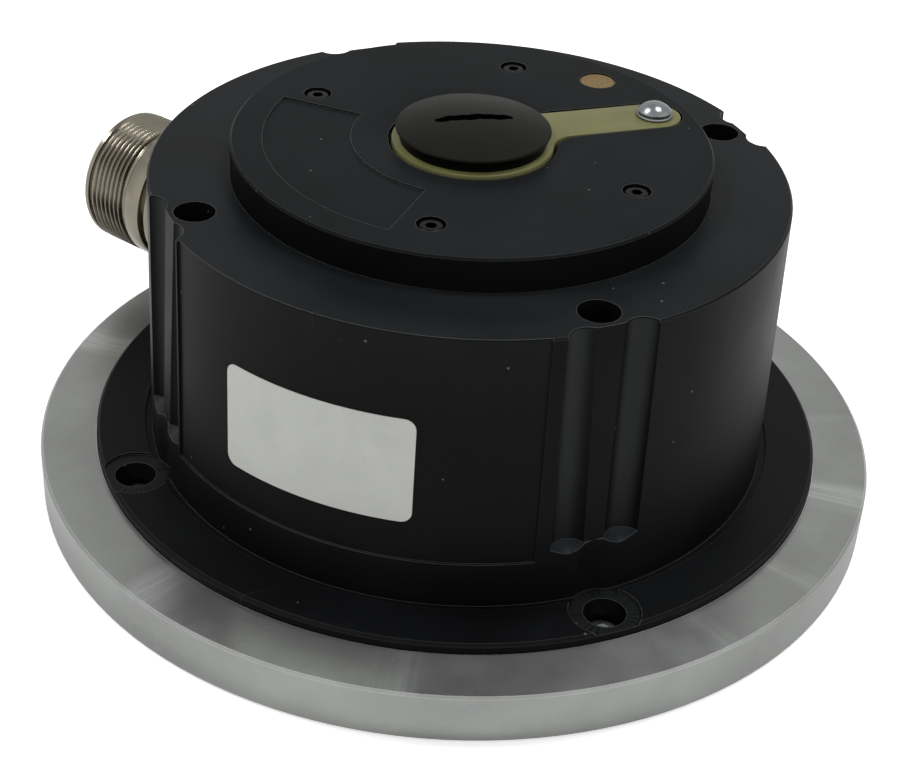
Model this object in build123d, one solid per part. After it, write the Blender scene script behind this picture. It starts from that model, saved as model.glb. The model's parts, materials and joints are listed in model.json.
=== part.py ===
from build123d import *
import os
from math import asin, atan, atan2, cos, degrees, hypot, radians, sin, tan

# Motor feedback encoder with a hollow shaft, in millimetres.
# The origin is the centre of the adapter ring's underside, where the motor is; +Z points to the cover.
# Angles are degrees about Z from +X. The housing's four screw stations lie on the X and Y axes.

# Clearances shared by the fits
slip_gap = 0.1            # between parts that drop into each other
running_gap = 0.04        # radial, on surfaces that turn or slide
thread_gap = 0.03         # radial, between a screw's thread and its tapped hole
screw_gap = 0.2           # radial, round a screw in its clearance hole
cut_over = 1.0            # how far a cut runs past the surface it opens
blind_floor = 1.0         # metal left under a tapped hole that stops short

# Adapter ring
ring_rim_width = 8.7      # from the housing's recess to the outer edge
ring_height = 8.2
ring_edge = 0.35
ring_web = 2.8            # floor that carries the housing and the base plate
ring_opening_radius = 42.0
ring_bolt_inset = 4.5     # of the bolt circle from the outer edge
ring_bolt_core = 2.1      # tapping hole for M5
ring_bolt_depth = 6.0
ring_bolt_angle = 45.0

# Housing, a cup with a flange
cavity_radius = 44.5
wall_thickness = 4.0      # at the top
wall_taper = 0.9
foot_relief_width = 1.1   # of the shallow groove round the wall's foot
foot_relief_depth = 0.4
foot_relief_edge = 0.12
wall_top_edge = 0.3
housing_top = 53.5
roof_thickness = 3.0
roof_opening_radius = 24.0
boss_radius = 5.0
screw_pocket_radius = 3.05
screw_pocket_floor = 24.0
screw_pocket_wall = 0.65  # between a pocket and the flutes outside it
station_angles = (0, 90, 180, 270)
flute_cutter_radius = 2.9
flute_wall = 1.8          # left behind a flute at the top, where the wall has no boss
flute_ridge_height = 0.6
flute_ridge_fade = 1.7    # further out at the ridge's foot, so that it fades into the wall
flute_tip_slope = 25.0    # of the cutters' ends
flute_spread = 4.15       # of each cutter's path from the middle of its pair
flute_foot = 18.6
flange_width = 8.8        # from the wall's foot to the flange's edge
flange_rise = 1.6         # above the ring
flange_edge = 0.45
flange_screw_inset = 4.3
flange_screw_pocket_radius = 3.15
flange_screw_floor = 1.3  # metal under the head
flange_screw_end_gap = 0.1
spotface_radius = 5.3
spotface_depth = 0.4
label_flat_depth = 0.35
label_flat_foot = 16.8
label_flat_start = 188.6
label_flat_arc = 70.8

# Base plate and shaft seal
base_plate_thickness = 5.0
base_plate_step = 2.6     # of its seat outside the cavity
base_pad_height = 1.6
base_pad_radius = 4.2
seal_width = 5.0          # from the shaft to the seal's seat
seal_height = 4.0
seal_sink = 0.4
seal_wall = 1.2

# Screws: head radius, head height, thread radius
cap_screw_head = 2.75
cap_screw_head_height = 3.0
low_screw_head_height = 2.0
m3_radius = 1.5
m25_radius = 1.25
m3_hex = 2.5              # across flats of the socket
socket_share = 0.55       # of the head's height
housing_screw_end_gap = 1.5

# Cover disc
cover_pocket_gap = 3.95   # between the disc and the housing's screw pockets
cover_thickness = 5.5
cover_edge = 0.3
cover_seat_depth = 0.3
cover_spigot_depth = 2.4
cover_relief_inner = 15.0
cover_relief_outer = 21.5
cover_web = 3.5           # above the relief
hub_hole_radius = 12.75
hub_dish_width = 3.6
hub_dish_depth = 0.35
cover_screw_circle = 27.6
cover_screw_angles = (52.7, 127.5, 234.5, 305.3)
cover_screw_head = 1.95
cover_screw_head_height = 1.4
cover_screw_pocket_radius = 2.15
cover_screw_sink = 0.25
cover_field_inner = 18.3
cover_field_outer = 31.4
cover_field_start = 135.0
cover_field_arc = 90.0
cover_field_depth = 0.3
gasket_inset = 2.6
gasket_width = 1.7
gasket_thickness = 1.2
vent_circle = 30.6
vent_angle = 25.7
vent_radius = 2.9
vent_sink = 0.15
vent_disc_thickness = 1.6
vent_drill_radius = 0.8

# Retaining strap with its screw, and the sealing plug
strap_thickness = 1.4
strap_ring_radius = 12.2
strap_eye_x = 30.3
strap_eye_y = -0.9
strap_eye_radius = 4.15
strap_root_x = 12.0
strap_root_y = 0.95
strap_root_radius = 4.15
strap_root_fillet = 4.0
slot_gap_eye = 0.3
slot_gap_root = 0.5
strap_washer_radius = 3.25
strap_washer_thickness = 0.5
strap_screw_head = 2.8
strap_screw_head_height = 1.9
strap_screw_side = 0.67   # straight part of the head, below its dome
strap_screw_length = 5.0
strap_screw_end_gap = 0.5
plug_thread_radius = 10.0
plug_ring_gap = 0.3       # between the plug's thread and the strap's ring
plug_side_step = 1.0      # of the plug's side outside its thread
plug_rim_step = 0.7       # of the rim outside the side
plug_side_height = 1.4
plug_rim_height = 2.0     # of the rim's edge above the strap
plug_crown = 1.6          # of the dome above the rim
plug_thread_length = 6.6
plug_groove_depth = 1.4
plug_groove_height = 1.8
plug_groove_drop = 2.4    # from the strap's top to the groove's middle
plug_bore_radius = 6.5
plug_bore_depth = 5.0
coin_slot_length = 13.0
coin_slot_width = 1.3
coin_slot_depth = 1.2
coin_slot_angle = -12.7

# Round connector, its lengths measured outwards from the milled seat in the wall
connector_angle = 119.3
connector_height = 26.6
connector_seat_depth = 1.1
connector_seat_radius = 12.3
connector_length = 27.0
connector_thread_radius = 11.5
connector_groove_start = 12.6
connector_groove_width = 1.4
connector_groove_depth = 0.9
connector_socket_radius = 9.6
connector_socket_start = 14.6
connector_tail_radius = 8.5
connector_tail_bore = 7.4
connector_tail_length = 7.0
connector_edge = 0.5
nut_seat_depth = 4.8
nut_across_flats = 20.0
nut_thickness = 2.0
nut_pad_margin = 1.0
seal_groove_inner = 9.2
seal_groove_outer = 10.6
seal_groove_depth = 0.9
insert_length = 8.0
insert_rim = 1.0
pin_radius = 0.5
pin_counts = (8, 4)
pin_ring_radii = (6.5, 3.1)
pin_length = 7.4          # in front of the insert
pin_tail = 1.5

# Bearings, thin section, two in one carrier
bearing_bore = 12.5
bearing_section = 6.0     # from the bore to the outside
bearing_width = 7.0
ball_radius = 1.5875
ball_count = 9
race_radius = 1.63
race_wall = 1.9           # of each ring, beside its groove
cage_wall = 0.9
cage_height = 4.4
cage_pocket_gap = 0.08

# Bearing carrier and its spring coupling
bearing_foot = 12.2
bearing_spacing = 5.0
carrier_lip = 1.7         # that holds the lower outer ring up
carrier_wall = 4.0
carrier_flange_height = 3.0
carrier_end = 1.7         # above the circlip's groove
wave_spring_height = 1.1
wave_spring_gap = 0.3
circlip_height = 1.2
circlip_groove = 0.9
circlip_reach = 2.2
circlip_gap_start = 80.0
circlip_gap_arc = 20.0
coupling_thickness = 0.5
coupling_screw_circle = 30.5
coupling_band = 6.0       # on both sides of the screw circle
coupling_slot_width = 1.6
coupling_slot_arc = 62.0
coupling_screw_head = 2.3
coupling_screw_head_height = 1.6
coupling_screw_length = 3.2
base_lug_angles = (0, 180)
carrier_lug_angles = (90, 270)

# Hollow shaft, its central screw and the code disc
shaft_foot = 3.0
shaft_bore_radius = 7.0
shaft_fit_top = 17.0
shaft_relief = 0.5
shaft_web_foot = 27.0
shaft_web_top = 33.0
shaft_shoulder = 1.8
shaft_shoulder_height = 3.0
shaft_end = 0.6           # above the disc's clamp ring
shaft_edge = 0.5
shaft_pocket_radius = 7.0
shaft_screw_radius = 3.0
shaft_screw_head = 5.0
shaft_screw_head_height = 6.0
shaft_screw_length = 12.0
shaft_screw_hex = 5.0
shaft_circlip_height = 1.2
shaft_circlip_groove = 0.7
shaft_circlip_reach = 1.6
hub_gap = 0.4             # between the shaft's circlip and the code disc hub
hub_wall = 4.5
hub_height = 4.6
hub_step = 2.0            # of the disc's seat outside the shaft
code_disc_thickness = 1.5
clamp_ring_height = 1.0

# Electronics
board_boss_gap = 3.9      # between the boards and the housing's bosses
board_margin = 3.1        # outside the pillars' circle
board_hole_radius = 15.0
board_thickness = 1.6
board_rise = 3.1          # of the lower board above the code disc
board_spacer_height = 2.4
pillar_angles = (45, 135, 225, 315)
pillar_across_flats = 4.4
pillar_disc_gap = 0.5
pillar_thread_reach = 4.0
carrier_flange_margin = 2.8
board_screw_head = 2.3
board_screw_head_height = 1.5
track_inset = 4.0         # of the detector from the code disc's edge
detector_size = (5.0, 8.0)
light_source_size = (8.0, 8.0)
light_source_gap = 0.2
reader_angle = 270.0
reader_air_gap = 0.5
processor_size = (9.0, 9.0, 1.2)
processor_inset = 10.3
processor_angle = 20.0
header_size = (5.0, 12.0, 2.3)
header_inset = 3.9
lead_radius = 1.15
lead_bend = 3.2
lead_board_gap = 1.45

# Radii worked out from those above
wall_top_radius = cavity_radius + wall_thickness
wall_foot_radius = wall_top_radius + wall_taper
flange_radius = wall_foot_radius + flange_width
flange_screw_circle = flange_radius - flange_screw_inset
ring_recess_radius = flange_radius + slip_gap
ring_radius = ring_recess_radius + ring_rim_width
ring_bolt_circle = ring_radius - ring_bolt_inset
flute_floor_radius = cavity_radius + flute_wall
flute_ridge_radius = flute_floor_radius + flute_ridge_height
screw_circle = flute_ridge_radius - screw_pocket_wall - screw_pocket_radius
base_plate_radius = cavity_radius + base_plate_step
base_bore_radius = bearing_bore + seal_width
cover_radius = screw_circle - screw_pocket_radius - cover_pocket_gap
gasket_outer = cover_radius - gasket_inset
gasket_inner = gasket_outer - gasket_width
hub_dish_radius = hub_hole_radius + hub_dish_width
strap_ring_hole = plug_thread_radius + plug_ring_gap
plug_side_radius = plug_thread_radius + plug_side_step
plug_rim_radius = plug_side_radius + plug_rim_step
plug_groove_radius = plug_thread_radius - plug_groove_depth
bearing_outer = bearing_bore + bearing_section
bearing_pitch = bearing_bore + bearing_section / 2
inner_land = bearing_bore + race_wall
outer_land = bearing_outer - race_wall
carrier_radius = bearing_outer + carrier_wall
carrier_lip_radius = bearing_outer - carrier_lip
board_radius = screw_circle - boss_radius - board_boss_gap
pillar_circle = board_radius - board_margin
carrier_flange_radius = pillar_circle + carrier_flange_margin
code_disc_radius = pillar_circle - pillar_across_flats / 2 - pillar_disc_gap
reader_circle = code_disc_radius - track_inset
processor_circle = board_radius - processor_inset
header_circle = board_radius - header_inset
lead_riser = board_radius + lead_board_gap + lead_radius
coupling_inner = coupling_screw_circle - coupling_band
coupling_outer = coupling_screw_circle + coupling_band
hub_radius = bearing_bore + hub_wall
hub_step_radius = bearing_bore + hub_step
shaft_shoulder_radius = bearing_bore + shaft_shoulder
shaft_relief_radius = shaft_bore_radius + shaft_relief

# Heights worked out in the same way
flange_top = ring_height + flange_rise
flange_foot = ring_web
base_top = flange_foot + base_plate_thickness
coupling_foot = base_top + base_pad_height
carrier_foot = coupling_foot + coupling_thickness
carrier_flange_top = carrier_foot + carrier_flange_height
roof_underside = housing_top - roof_thickness
cover_foot = housing_top - cover_seat_depth
cover_top = cover_foot + cover_thickness
cover_relief_roof = cover_top - cover_web
strap_top = cover_top
strap_foot = strap_top - strap_thickness
plug_foot = strap_foot - plug_thread_length
upper_bearing_foot = bearing_foot + bearing_width + bearing_spacing
upper_bearing_top = upper_bearing_foot + bearing_width
bore_circlip_foot = upper_bearing_top + wave_spring_height
bore_circlip_top = bore_circlip_foot + circlip_height
carrier_top = bore_circlip_top + carrier_end
shaft_circlip_top = upper_bearing_top + shaft_circlip_height
hub_foot = shaft_circlip_top + hub_gap
disc_foot = hub_foot + hub_height
disc_top = disc_foot + code_disc_thickness
clamp_ring_top = disc_top + clamp_ring_height
shaft_top = clamp_ring_top + shaft_end
board_foot = disc_top + board_rise
board_top = board_foot + board_thickness
upper_board_foot = board_top + board_spacer_height
upper_board_top = upper_board_foot + board_thickness

wall_lean = degrees(atan(wall_taper / (housing_top - flange_top)))

# Distances along the connector, from the shaft's axis
connector_seat = wall_top_radius - connector_seat_depth
connector_end = connector_seat + connector_length
connector_groove_foot = connector_seat + connector_groove_start
connector_groove_end = connector_groove_foot + connector_groove_width
connector_groove_radius = connector_thread_radius - connector_groove_depth
connector_socket_floor = connector_seat + connector_socket_start
connector_tail_end = connector_seat - connector_tail_length
nut_seat = connector_seat - nut_seat_depth
insert_foot = connector_socket_floor - insert_length
pin_foot = insert_foot - pin_tail
pin_end = connector_socket_floor + pin_length

BASE = (Align.CENTER, Align.CENTER, Align.MIN)


def turned(*outline):
    """A solid turned about Z from an outline of (radius, height) points."""
    return revolve(Plane.XZ * make_face(Polyline(*outline, close=True)), Axis.Z)


def tube(inner, outer, low, high):
    return turned((inner, low), (outer, low), (outer, high), (inner, high))


def rod(radius, low, high, place=Location()):
    return place * Pos(0, 0, low) * Cylinder(radius, high - low, align=BASE)


def dome(radius, low, high):
    """Arc of a spherical dome, from its rim down to up on the axis."""
    rise = high - low
    sphere = (radius**2 + rise**2) / (2 * rise)
    half = atan2(radius, sphere - rise) / 2
    middle = (sphere * sin(half), high - sphere * (1 - cos(half)))
    return ThreePointArc((radius, low), middle, (0, high))


def sector(outline, start, arc):
    """A part turn of an outline of (radius, height) points."""
    face = Plane.XZ * make_face(Polyline(*outline, close=True))
    return Rot(0, 0, start) * revolve(face, Axis.Z, revolution_arc=arc)


def tube_sector(inner, outer, low, high, start, arc):
    return sector(((inner, low), (outer, low), (outer, high), (inner, high)), start, arc)


def station(radius, angle):
    return Rot(0, 0, angle) * Pos(radius, 0, 0)


def group(shapes):
    """Separate solids kept as one named part."""
    return Compound(children=[solid for shape in shapes for solid in shape.solids()])


def hex_prism(across_flats, low, high):
    outline = RegularPolygon(across_flats / 2, 6, major_radius=False)
    return Pos(0, 0, low) * extrude(outline, high - low)


def socket_screw(thread_radius, head_radius, head_height, length, hex_size, seat):
    """Socket screw that points down, with its head seated at the height given."""
    screw = rod(thread_radius, seat - length, seat) + rod(head_radius, seat, seat + head_height)
    top = seat + head_height
    return screw - hex_prism(hex_size, top - head_height * socket_share, top + cut_over)


def wall_radius(height):
    """Outer radius of the housing's tapered wall."""
    share = (height - flange_top) / (housing_top - flange_top)
    return wall_foot_radius + (wall_top_radius - wall_foot_radius) * share


def connector_place():
    """Turns a part built along Z so that Z runs outwards along the connector's axis."""
    angle = radians(connector_angle)
    plane = Plane(
        origin=(0, 0, connector_height),
        x_dir=(-sin(angle), cos(angle), 0),
        z_dir=(cos(angle), sin(angle), 0),
    )
    return plane.location


def adapter_ring():
    ring = turned(
        (ring_opening_radius, 0),
        (ring_radius - ring_edge, 0),
        (ring_radius, ring_edge),
        (ring_radius, ring_height - ring_edge),
        (ring_radius - ring_edge, ring_height),
        (ring_recess_radius, ring_height),
        (ring_recess_radius, ring_web),
        (ring_opening_radius, ring_web),
    )
    for angle in station_angles:
        core = m3_radius + thread_gap
        ring -= rod(core, -cut_over, ring_web + cut_over, station(flange_screw_circle, angle))
        place = station(ring_bolt_circle, angle + ring_bolt_angle)
        ring -= rod(ring_bolt_core, -cut_over, ring_bolt_depth, place)
    return ring


def housing_shell():
    """The cup before its holes and flutes: flange, tapered wall and roof with a cover seat."""
    seat = cover_radius + slip_gap
    return turned(
        (base_plate_radius + slip_gap, flange_foot),
        (flange_radius, flange_foot),
        (flange_radius, flange_top - flange_edge),
        (flange_radius - flange_edge, flange_top),
        (wall_foot_radius + foot_relief_width + foot_relief_edge, flange_top),
        (wall_foot_radius + foot_relief_width, flange_top - foot_relief_edge),
        (wall_foot_radius + foot_relief_width, flange_top - foot_relief_depth),
        (wall_foot_radius, flange_top - foot_relief_depth),
        (wall_foot_radius, flange_top),
        (wall_radius(housing_top - wall_top_edge), housing_top - wall_top_edge),
        (wall_top_radius - wall_top_edge, housing_top),
        (seat, housing_top),
        (seat, cover_foot),
        (roof_opening_radius, cover_foot),
        (roof_opening_radius, roof_underside),
        (cavity_radius, roof_underside),
        (cavity_radius, base_top),
        (base_plate_radius + slip_gap, base_top),
    )


def housing():
    body = housing_shell()
    for angle in station_angles:
        body += rod(boss_radius, base_top, roof_underside, station(screw_circle, angle))
    body += connector_place() * connector_pad()
    flat = label_flat_depth
    body -= sector(
        (
            (wall_radius(label_flat_foot) - flat, label_flat_foot),
            (flange_radius, label_flat_foot),
            (flange_radius, housing_top + cut_over),
            (wall_radius(housing_top + cut_over) - flat, housing_top + cut_over),
        ),
        label_flat_start,
        label_flat_arc,
    )
    for angle in station_angles:
        body -= flute_pair(angle)
        body -= flange_screw_cut(angle)
        body -= housing_screw_cut(angle)
    for angle in cover_screw_angles:
        place = station(cover_screw_circle, angle)
        body -= rod(m25_radius + thread_gap, roof_underside - cut_over, housing_top, place)
    body -= rod(
        vent_drill_radius, roof_underside - cut_over, housing_top, station(vent_circle, vent_angle)
    )
    return body - connector_place() * connector_cut()


def flute_cutter():
    """Round cutter with a blunt conical end, upright on the Z axis."""
    tip = flute_cutter_radius * tan(radians(flute_tip_slope))
    point = Pos(0, 0, flute_foot) * Cone(0, flute_cutter_radius, tip, align=(Align.CENTER, Align.CENTER, Align.MAX))
    return point + rod(flute_cutter_radius, flute_foot, housing_top + cut_over)


def flute_pair(angle):
    """Two grooves down the wall beside a screw station, and the low ridge between them."""
    top = housing_top + cut_over
    centre = flute_floor_radius + flute_cutter_radius
    turn = degrees(asin(flute_spread / centre))
    lean = Pos(0, 0, housing_top) * Rot(0, -wall_lean, 0) * Pos(0, 0, -housing_top)
    left = station(centre, angle - turn) * lean * flute_cutter()
    right = station(centre, angle + turn) * lean * flute_cutter()
    ridge = sector(
        (
            (flute_ridge_radius, top),
            (flange_radius, top),
            (flange_radius, flute_foot),
            (flute_ridge_radius + flute_ridge_fade, flute_foot),
        ),
        angle - turn,
        2 * turn,
    )
    return left + right + ridge


def flange_screw_cut(angle):
    place = station(flange_screw_circle, angle)
    spotface = rod(spotface_radius, flange_top - spotface_depth, flute_foot, place)
    pocket = rod(flange_screw_pocket_radius, flange_screw_seat(), flange_top, place)
    drill = rod(m3_radius + screw_gap, flange_foot - cut_over, flange_top, place)
    return spotface + pocket + drill


def housing_screw_cut(angle):
    place = station(screw_circle, angle)
    pocket = rod(screw_pocket_radius, screw_pocket_floor, housing_top + cut_over, place)
    drill = rod(m3_radius + screw_gap, base_top - cut_over, screw_pocket_floor + cut_over, place)
    return pocket + drill


def flange_screw_seat():
    return ring_web + flange_screw_floor


def connector_pad():
    """Flat pad inside the wall for the connector's lock nut."""
    reach = hypot(connector_seat, connector_seat_radius)
    width = nut_across_flats + 2 * nut_pad_margin
    pad = Pos(0, 0, nut_seat) * Box(width, width, reach - nut_seat, align=BASE)
    outer = rod(cavity_radius + cut_over, base_top, roof_underside)
    return pad & (connector_place().inverse() * outer)


def connector_cut():
    seat = rod(connector_seat_radius, connector_seat, connector_end)
    return seat + rod(connector_tail_radius + thread_gap, nut_seat - cut_over, connector_end)


def base_plate():
    plate = tube(base_bore_radius, base_plate_radius, flange_foot, base_top)
    floor = flange_foot + blind_floor
    for angle in base_lug_angles:
        place = station(coupling_screw_circle, angle)
        plate += rod(base_pad_radius, base_top, coupling_foot, place)
        plate -= rod(m25_radius + thread_gap, floor, coupling_foot + cut_over, place)
    for angle in station_angles:
        place = station(screw_circle, angle)
        plate -= rod(m3_radius + thread_gap, floor, base_top + cut_over, place)
    return plate


def housing_screws():
    seat = screw_pocket_floor
    length = seat - flange_foot - housing_screw_end_gap
    screw = socket_screw(m3_radius, cap_screw_head, cap_screw_head_height, length, m3_hex, seat)
    return group(station(screw_circle, angle) * screw for angle in station_angles)


def flange_screws():
    seat = flange_screw_seat()
    length = seat - flange_screw_end_gap
    screw = socket_screw(m3_radius, cap_screw_head, low_screw_head_height, length, m3_hex, seat)
    return group(station(flange_screw_circle, angle) * screw for angle in station_angles)


def shaft_seal():
    """Radial seal pressed in the base plate, with a lip that runs on the shaft."""
    lip = bearing_bore + running_gap
    low = flange_foot + seal_sink
    high = low + seal_height
    return turned(
        (base_bore_radius, low),
        (base_bore_radius, high),
        (base_bore_radius - seal_wall, high),
        (base_bore_radius - seal_wall, low + seal_wall),
        (lip + seal_wall, low + seal_wall),
        (lip + seal_wall, high - seal_wall),
        (lip, high - 2 * seal_wall),
        (lip, low + seal_wall),
        (lip + seal_wall, low),
    )


def strap_outline(ring_radius, eye_gap, root_gap):
    """Outline of the strap's ring and arm, grown by gaps for the pocket that it lies in."""
    eye = Pos(strap_eye_x, strap_eye_y) * Circle(strap_eye_radius + eye_gap)
    root = Pos(strap_root_x, strap_root_y) * Circle(strap_root_radius + root_gap)
    outline = Circle(ring_radius) + make_hull((eye + root).edges())
    near = outline.vertices().filter_by_position(Axis.X, strap_root_x / 2, ring_radius)
    return fillet(near.sort_by(Axis.Y)[0], strap_root_fillet - root_gap)


def cover_disc():
    spigot_radius = roof_opening_radius - slip_gap
    spigot_foot = cover_foot - cover_spigot_depth
    bore = plug_thread_radius + running_gap
    dish_foot = cover_top - hub_dish_depth
    disc = turned(
        (bore, spigot_foot),
        (cover_relief_inner, spigot_foot),
        (cover_relief_inner, cover_relief_roof),
        (cover_relief_outer, cover_relief_roof),
        (cover_relief_outer, spigot_foot),
        (spigot_radius, spigot_foot),
        (spigot_radius, cover_foot),
        (gasket_inner, cover_foot),
        (gasket_inner, cover_foot + gasket_thickness),
        (gasket_outer, cover_foot + gasket_thickness),
        (gasket_outer, cover_foot),
        (cover_radius, cover_foot),
        (cover_radius, cover_top - cover_edge),
        (cover_radius - cover_edge, cover_top),
        (hub_dish_radius, cover_top),
        (hub_hole_radius, dish_foot),
        (hub_hole_radius, strap_foot),
        (bore, strap_foot),
    )
    pocket = strap_outline(hub_hole_radius, slot_gap_eye, slot_gap_root)
    disc -= Pos(0, 0, strap_foot) * extrude(pocket, cover_top - strap_foot + cut_over)
    disc -= tube_sector(
        cover_field_inner,
        cover_field_outer,
        cover_top - cover_field_depth,
        cover_top + cut_over,
        cover_field_start,
        cover_field_arc,
    )
    for angle in cover_screw_angles:
        place = station(cover_screw_circle, angle)
        disc -= rod(cover_screw_pocket_radius, cover_screw_seat(), cover_top + cut_over, place)
        disc -= rod(m25_radius + screw_gap, cover_foot - cut_over, cover_top, place)
    place = station(vent_circle, vent_angle)
    disc -= rod(vent_radius, vent_seat(), cover_top + cut_over, place)
    disc -= rod(vent_drill_radius, cover_foot - cut_over, cover_top, place)
    screw_end = strap_top + strap_washer_thickness - strap_screw_length
    hole_foot = screw_end - strap_screw_end_gap
    return disc - rod(m3_radius + thread_gap, hole_foot, cover_top, strap_eye())


def cover_screw_seat():
    return cover_top - cover_screw_sink - cover_screw_head_height


def vent_seat():
    return cover_top - vent_sink - vent_disc_thickness


def strap_eye():
    return Pos(strap_eye_x, strap_eye_y, 0)


def cover_screws():
    seat = cover_screw_seat()
    screw = rod(m25_radius, roof_underside, seat)
    screw += rod(cover_screw_head, seat, seat + cover_screw_head_height)
    return group(station(cover_screw_circle, angle) * screw for angle in cover_screw_angles)


def cover_gasket():
    return tube(gasket_inner, gasket_outer, cover_foot, cover_foot + gasket_thickness)


def vent_disc():
    """Porous metal disc that lets the housing breathe."""
    seat = vent_seat()
    return rod(vent_radius, seat, seat + vent_disc_thickness, station(vent_circle, vent_angle))


def retaining_strap():
    outline = strap_outline(strap_ring_radius, 0, 0)
    strap = Pos(0, 0, strap_foot) * extrude(outline, strap_thickness)
    strap -= rod(strap_ring_hole, strap_foot - cut_over, strap_top + cut_over)
    return strap - rod(m3_radius + screw_gap, strap_foot - cut_over, strap_top + cut_over, strap_eye())


def strap_washer():
    top = strap_top + strap_washer_thickness
    washer = rod(strap_washer_radius, strap_top, top, strap_eye())
    return washer - rod(m3_radius + screw_gap, strap_top - cut_over, top + cut_over, strap_eye())


def strap_screw():
    """Pan head screw; its head is a low dome on a short straight side."""
    seat = strap_top + strap_washer_thickness
    side_top = seat + strap_screw_side
    profile = make_face(
        Polyline(
            (0, seat + strap_screw_head_height),
            (0, seat - strap_screw_length),
            (m3_radius, seat - strap_screw_length),
            (m3_radius, seat),
            (strap_screw_head, seat),
            (strap_screw_head, side_top),
        )
        + dome(strap_screw_head, side_top, seat + strap_screw_head_height)
    )
    return strap_eye() * revolve(Plane.XZ * profile, Axis.Z)


def sealing_plug():
    """Threaded plug with a shallow dome, a coin slot and a groove for its seal."""
    rim = strap_top + plug_rim_height
    groove = strap_top - plug_groove_drop
    half = plug_groove_height / 2
    crown = rim + plug_crown
    profile = make_face(
        Polyline(
            (0, crown),
            (0, plug_foot + plug_bore_depth),
            (plug_bore_radius, plug_foot + plug_bore_depth),
            (plug_bore_radius, plug_foot),
            (plug_thread_radius, plug_foot),
            (plug_thread_radius, groove - half),
            (plug_groove_radius, groove - half),
            (plug_groove_radius, groove + half),
            (plug_thread_radius, groove + half),
            (plug_thread_radius, strap_top),
            (plug_side_radius, strap_top),
            (plug_side_radius, strap_top + plug_side_height),
            (plug_rim_radius, rim),
        )
        + dome(plug_rim_radius, rim, crown)
    )
    plug = revolve(Plane.XZ * profile, Axis.Z)
    slot = Pos(0, 0, crown - coin_slot_depth) * Rot(0, 0, coin_slot_angle) * Box(
        coin_slot_length, coin_slot_width, coin_slot_depth + cut_over, align=BASE
    )
    return plug - slot


def plug_o_ring():
    """Round seal in the plug's groove, just clear of the cover's bore."""
    middle = strap_top - plug_groove_drop
    section = (plug_thread_radius - plug_groove_radius) / 2
    return Pos(0, 0, middle) * Torus(plug_groove_radius + section, section)


def connector_shell():
    """Threaded shell with its socket, collar, groove and the tail that passes through the wall."""
    shell = turned(
        (connector_socket_radius, connector_end),
        (connector_thread_radius - connector_edge, connector_end),
        (connector_thread_radius, connector_end - connector_edge),
        (connector_thread_radius, connector_groove_end),
        (connector_groove_radius, connector_groove_end),
        (connector_groove_radius, connector_groove_foot),
        (connector_thread_radius, connector_groove_foot),
        (connector_thread_radius, connector_seat),
        (seal_groove_outer, connector_seat),
        (seal_groove_outer, connector_seat + seal_groove_depth),
        (seal_groove_inner, connector_seat + seal_groove_depth),
        (seal_groove_inner, connector_seat),
        (connector_tail_radius, connector_seat),
        (connector_tail_radius, connector_tail_end),
        (connector_tail_bore, connector_tail_end),
        (connector_tail_bore, insert_foot + insert_rim),
        (connector_socket_radius, insert_foot + insert_rim),
    )
    return connector_place() * shell


def connector_gasket():
    seal = tube(
        seal_groove_inner, seal_groove_outer, connector_seat, connector_seat + seal_groove_depth
    )
    return connector_place() * seal


def connector_nut():
    nut = hex_prism(nut_across_flats, nut_seat - nut_thickness, nut_seat)
    hole = connector_tail_radius + thread_gap
    nut -= rod(hole, nut_seat - nut_thickness - cut_over, nut_seat + cut_over)
    return connector_place() * nut


def pin_places():
    for count, radius in zip(pin_counts, pin_ring_radii):
        for number in range(count):
            yield station(radius, 360 * number / count)


def connector_insert():
    """Moulded block that holds the contacts."""
    outer = connector_socket_radius - slip_gap
    step = connector_tail_bore - slip_gap
    block = turned(
        (0, insert_foot),
        (step, insert_foot),
        (step, insert_foot + insert_rim),
        (outer, insert_foot + insert_rim),
        (outer, connector_socket_floor),
        (0, connector_socket_floor),
    )
    for place in pin_places():
        block -= rod(pin_radius, insert_foot - cut_over, connector_socket_floor + cut_over, place)
    return connector_place() * block


def contact_pins():
    pins = [rod(pin_radius, pin_foot, pin_end, place) for place in pin_places()]
    return group(connector_place() * pin for pin in pins)


def internal_lead():
    """Screened lead from the back of the connector up the wall and over the upper board."""
    level = upper_board_top + header_size[2] / 2
    end = header_circle + header_size[0] / 2
    route = FilletPolyline(
        (pin_foot, 0, connector_height),
        (lead_riser, 0, connector_height),
        (lead_riser, 0, level),
        (end, 0, level),
        radius=lead_bend,
    )
    section = Plane(origin=route @ 0, z_dir=route % 0) * Circle(lead_radius)
    return Rot(0, 0, connector_angle) * sweep(section, path=route)


def lead_header():
    place = station(header_circle, connector_angle) * Pos(0, 0, upper_board_top)
    return place * Box(*header_size, align=BASE)


def bearing_outer_ring(low):
    ring = tube(outer_land, bearing_outer, low, low + bearing_width)
    return ring - Pos(0, 0, low + bearing_width / 2) * Torus(bearing_pitch, race_radius)


def bearing_inner_ring(low):
    ring = tube(bearing_bore, inner_land, low, low + bearing_width)
    return ring - Pos(0, 0, low + bearing_width / 2) * Torus(bearing_pitch, race_radius)


def ball_places(low):
    for number in range(ball_count):
        yield station(bearing_pitch, 360 * number / ball_count) * Pos(0, 0, low + bearing_width / 2)


def bearing_balls(low):
    return group(place * Sphere(ball_radius) for place in ball_places(low))


def bearing_cage(low):
    middle = low + bearing_width / 2
    half = cage_height / 2
    inner = bearing_pitch - cage_wall / 2
    cage = tube(inner, inner + cage_wall, middle - half, middle + half)
    for place in ball_places(low):
        cage -= place * Rot(0, 90, 0) * Cylinder(ball_radius + cage_pocket_gap, 2 * cage_wall)
    return cage


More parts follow.
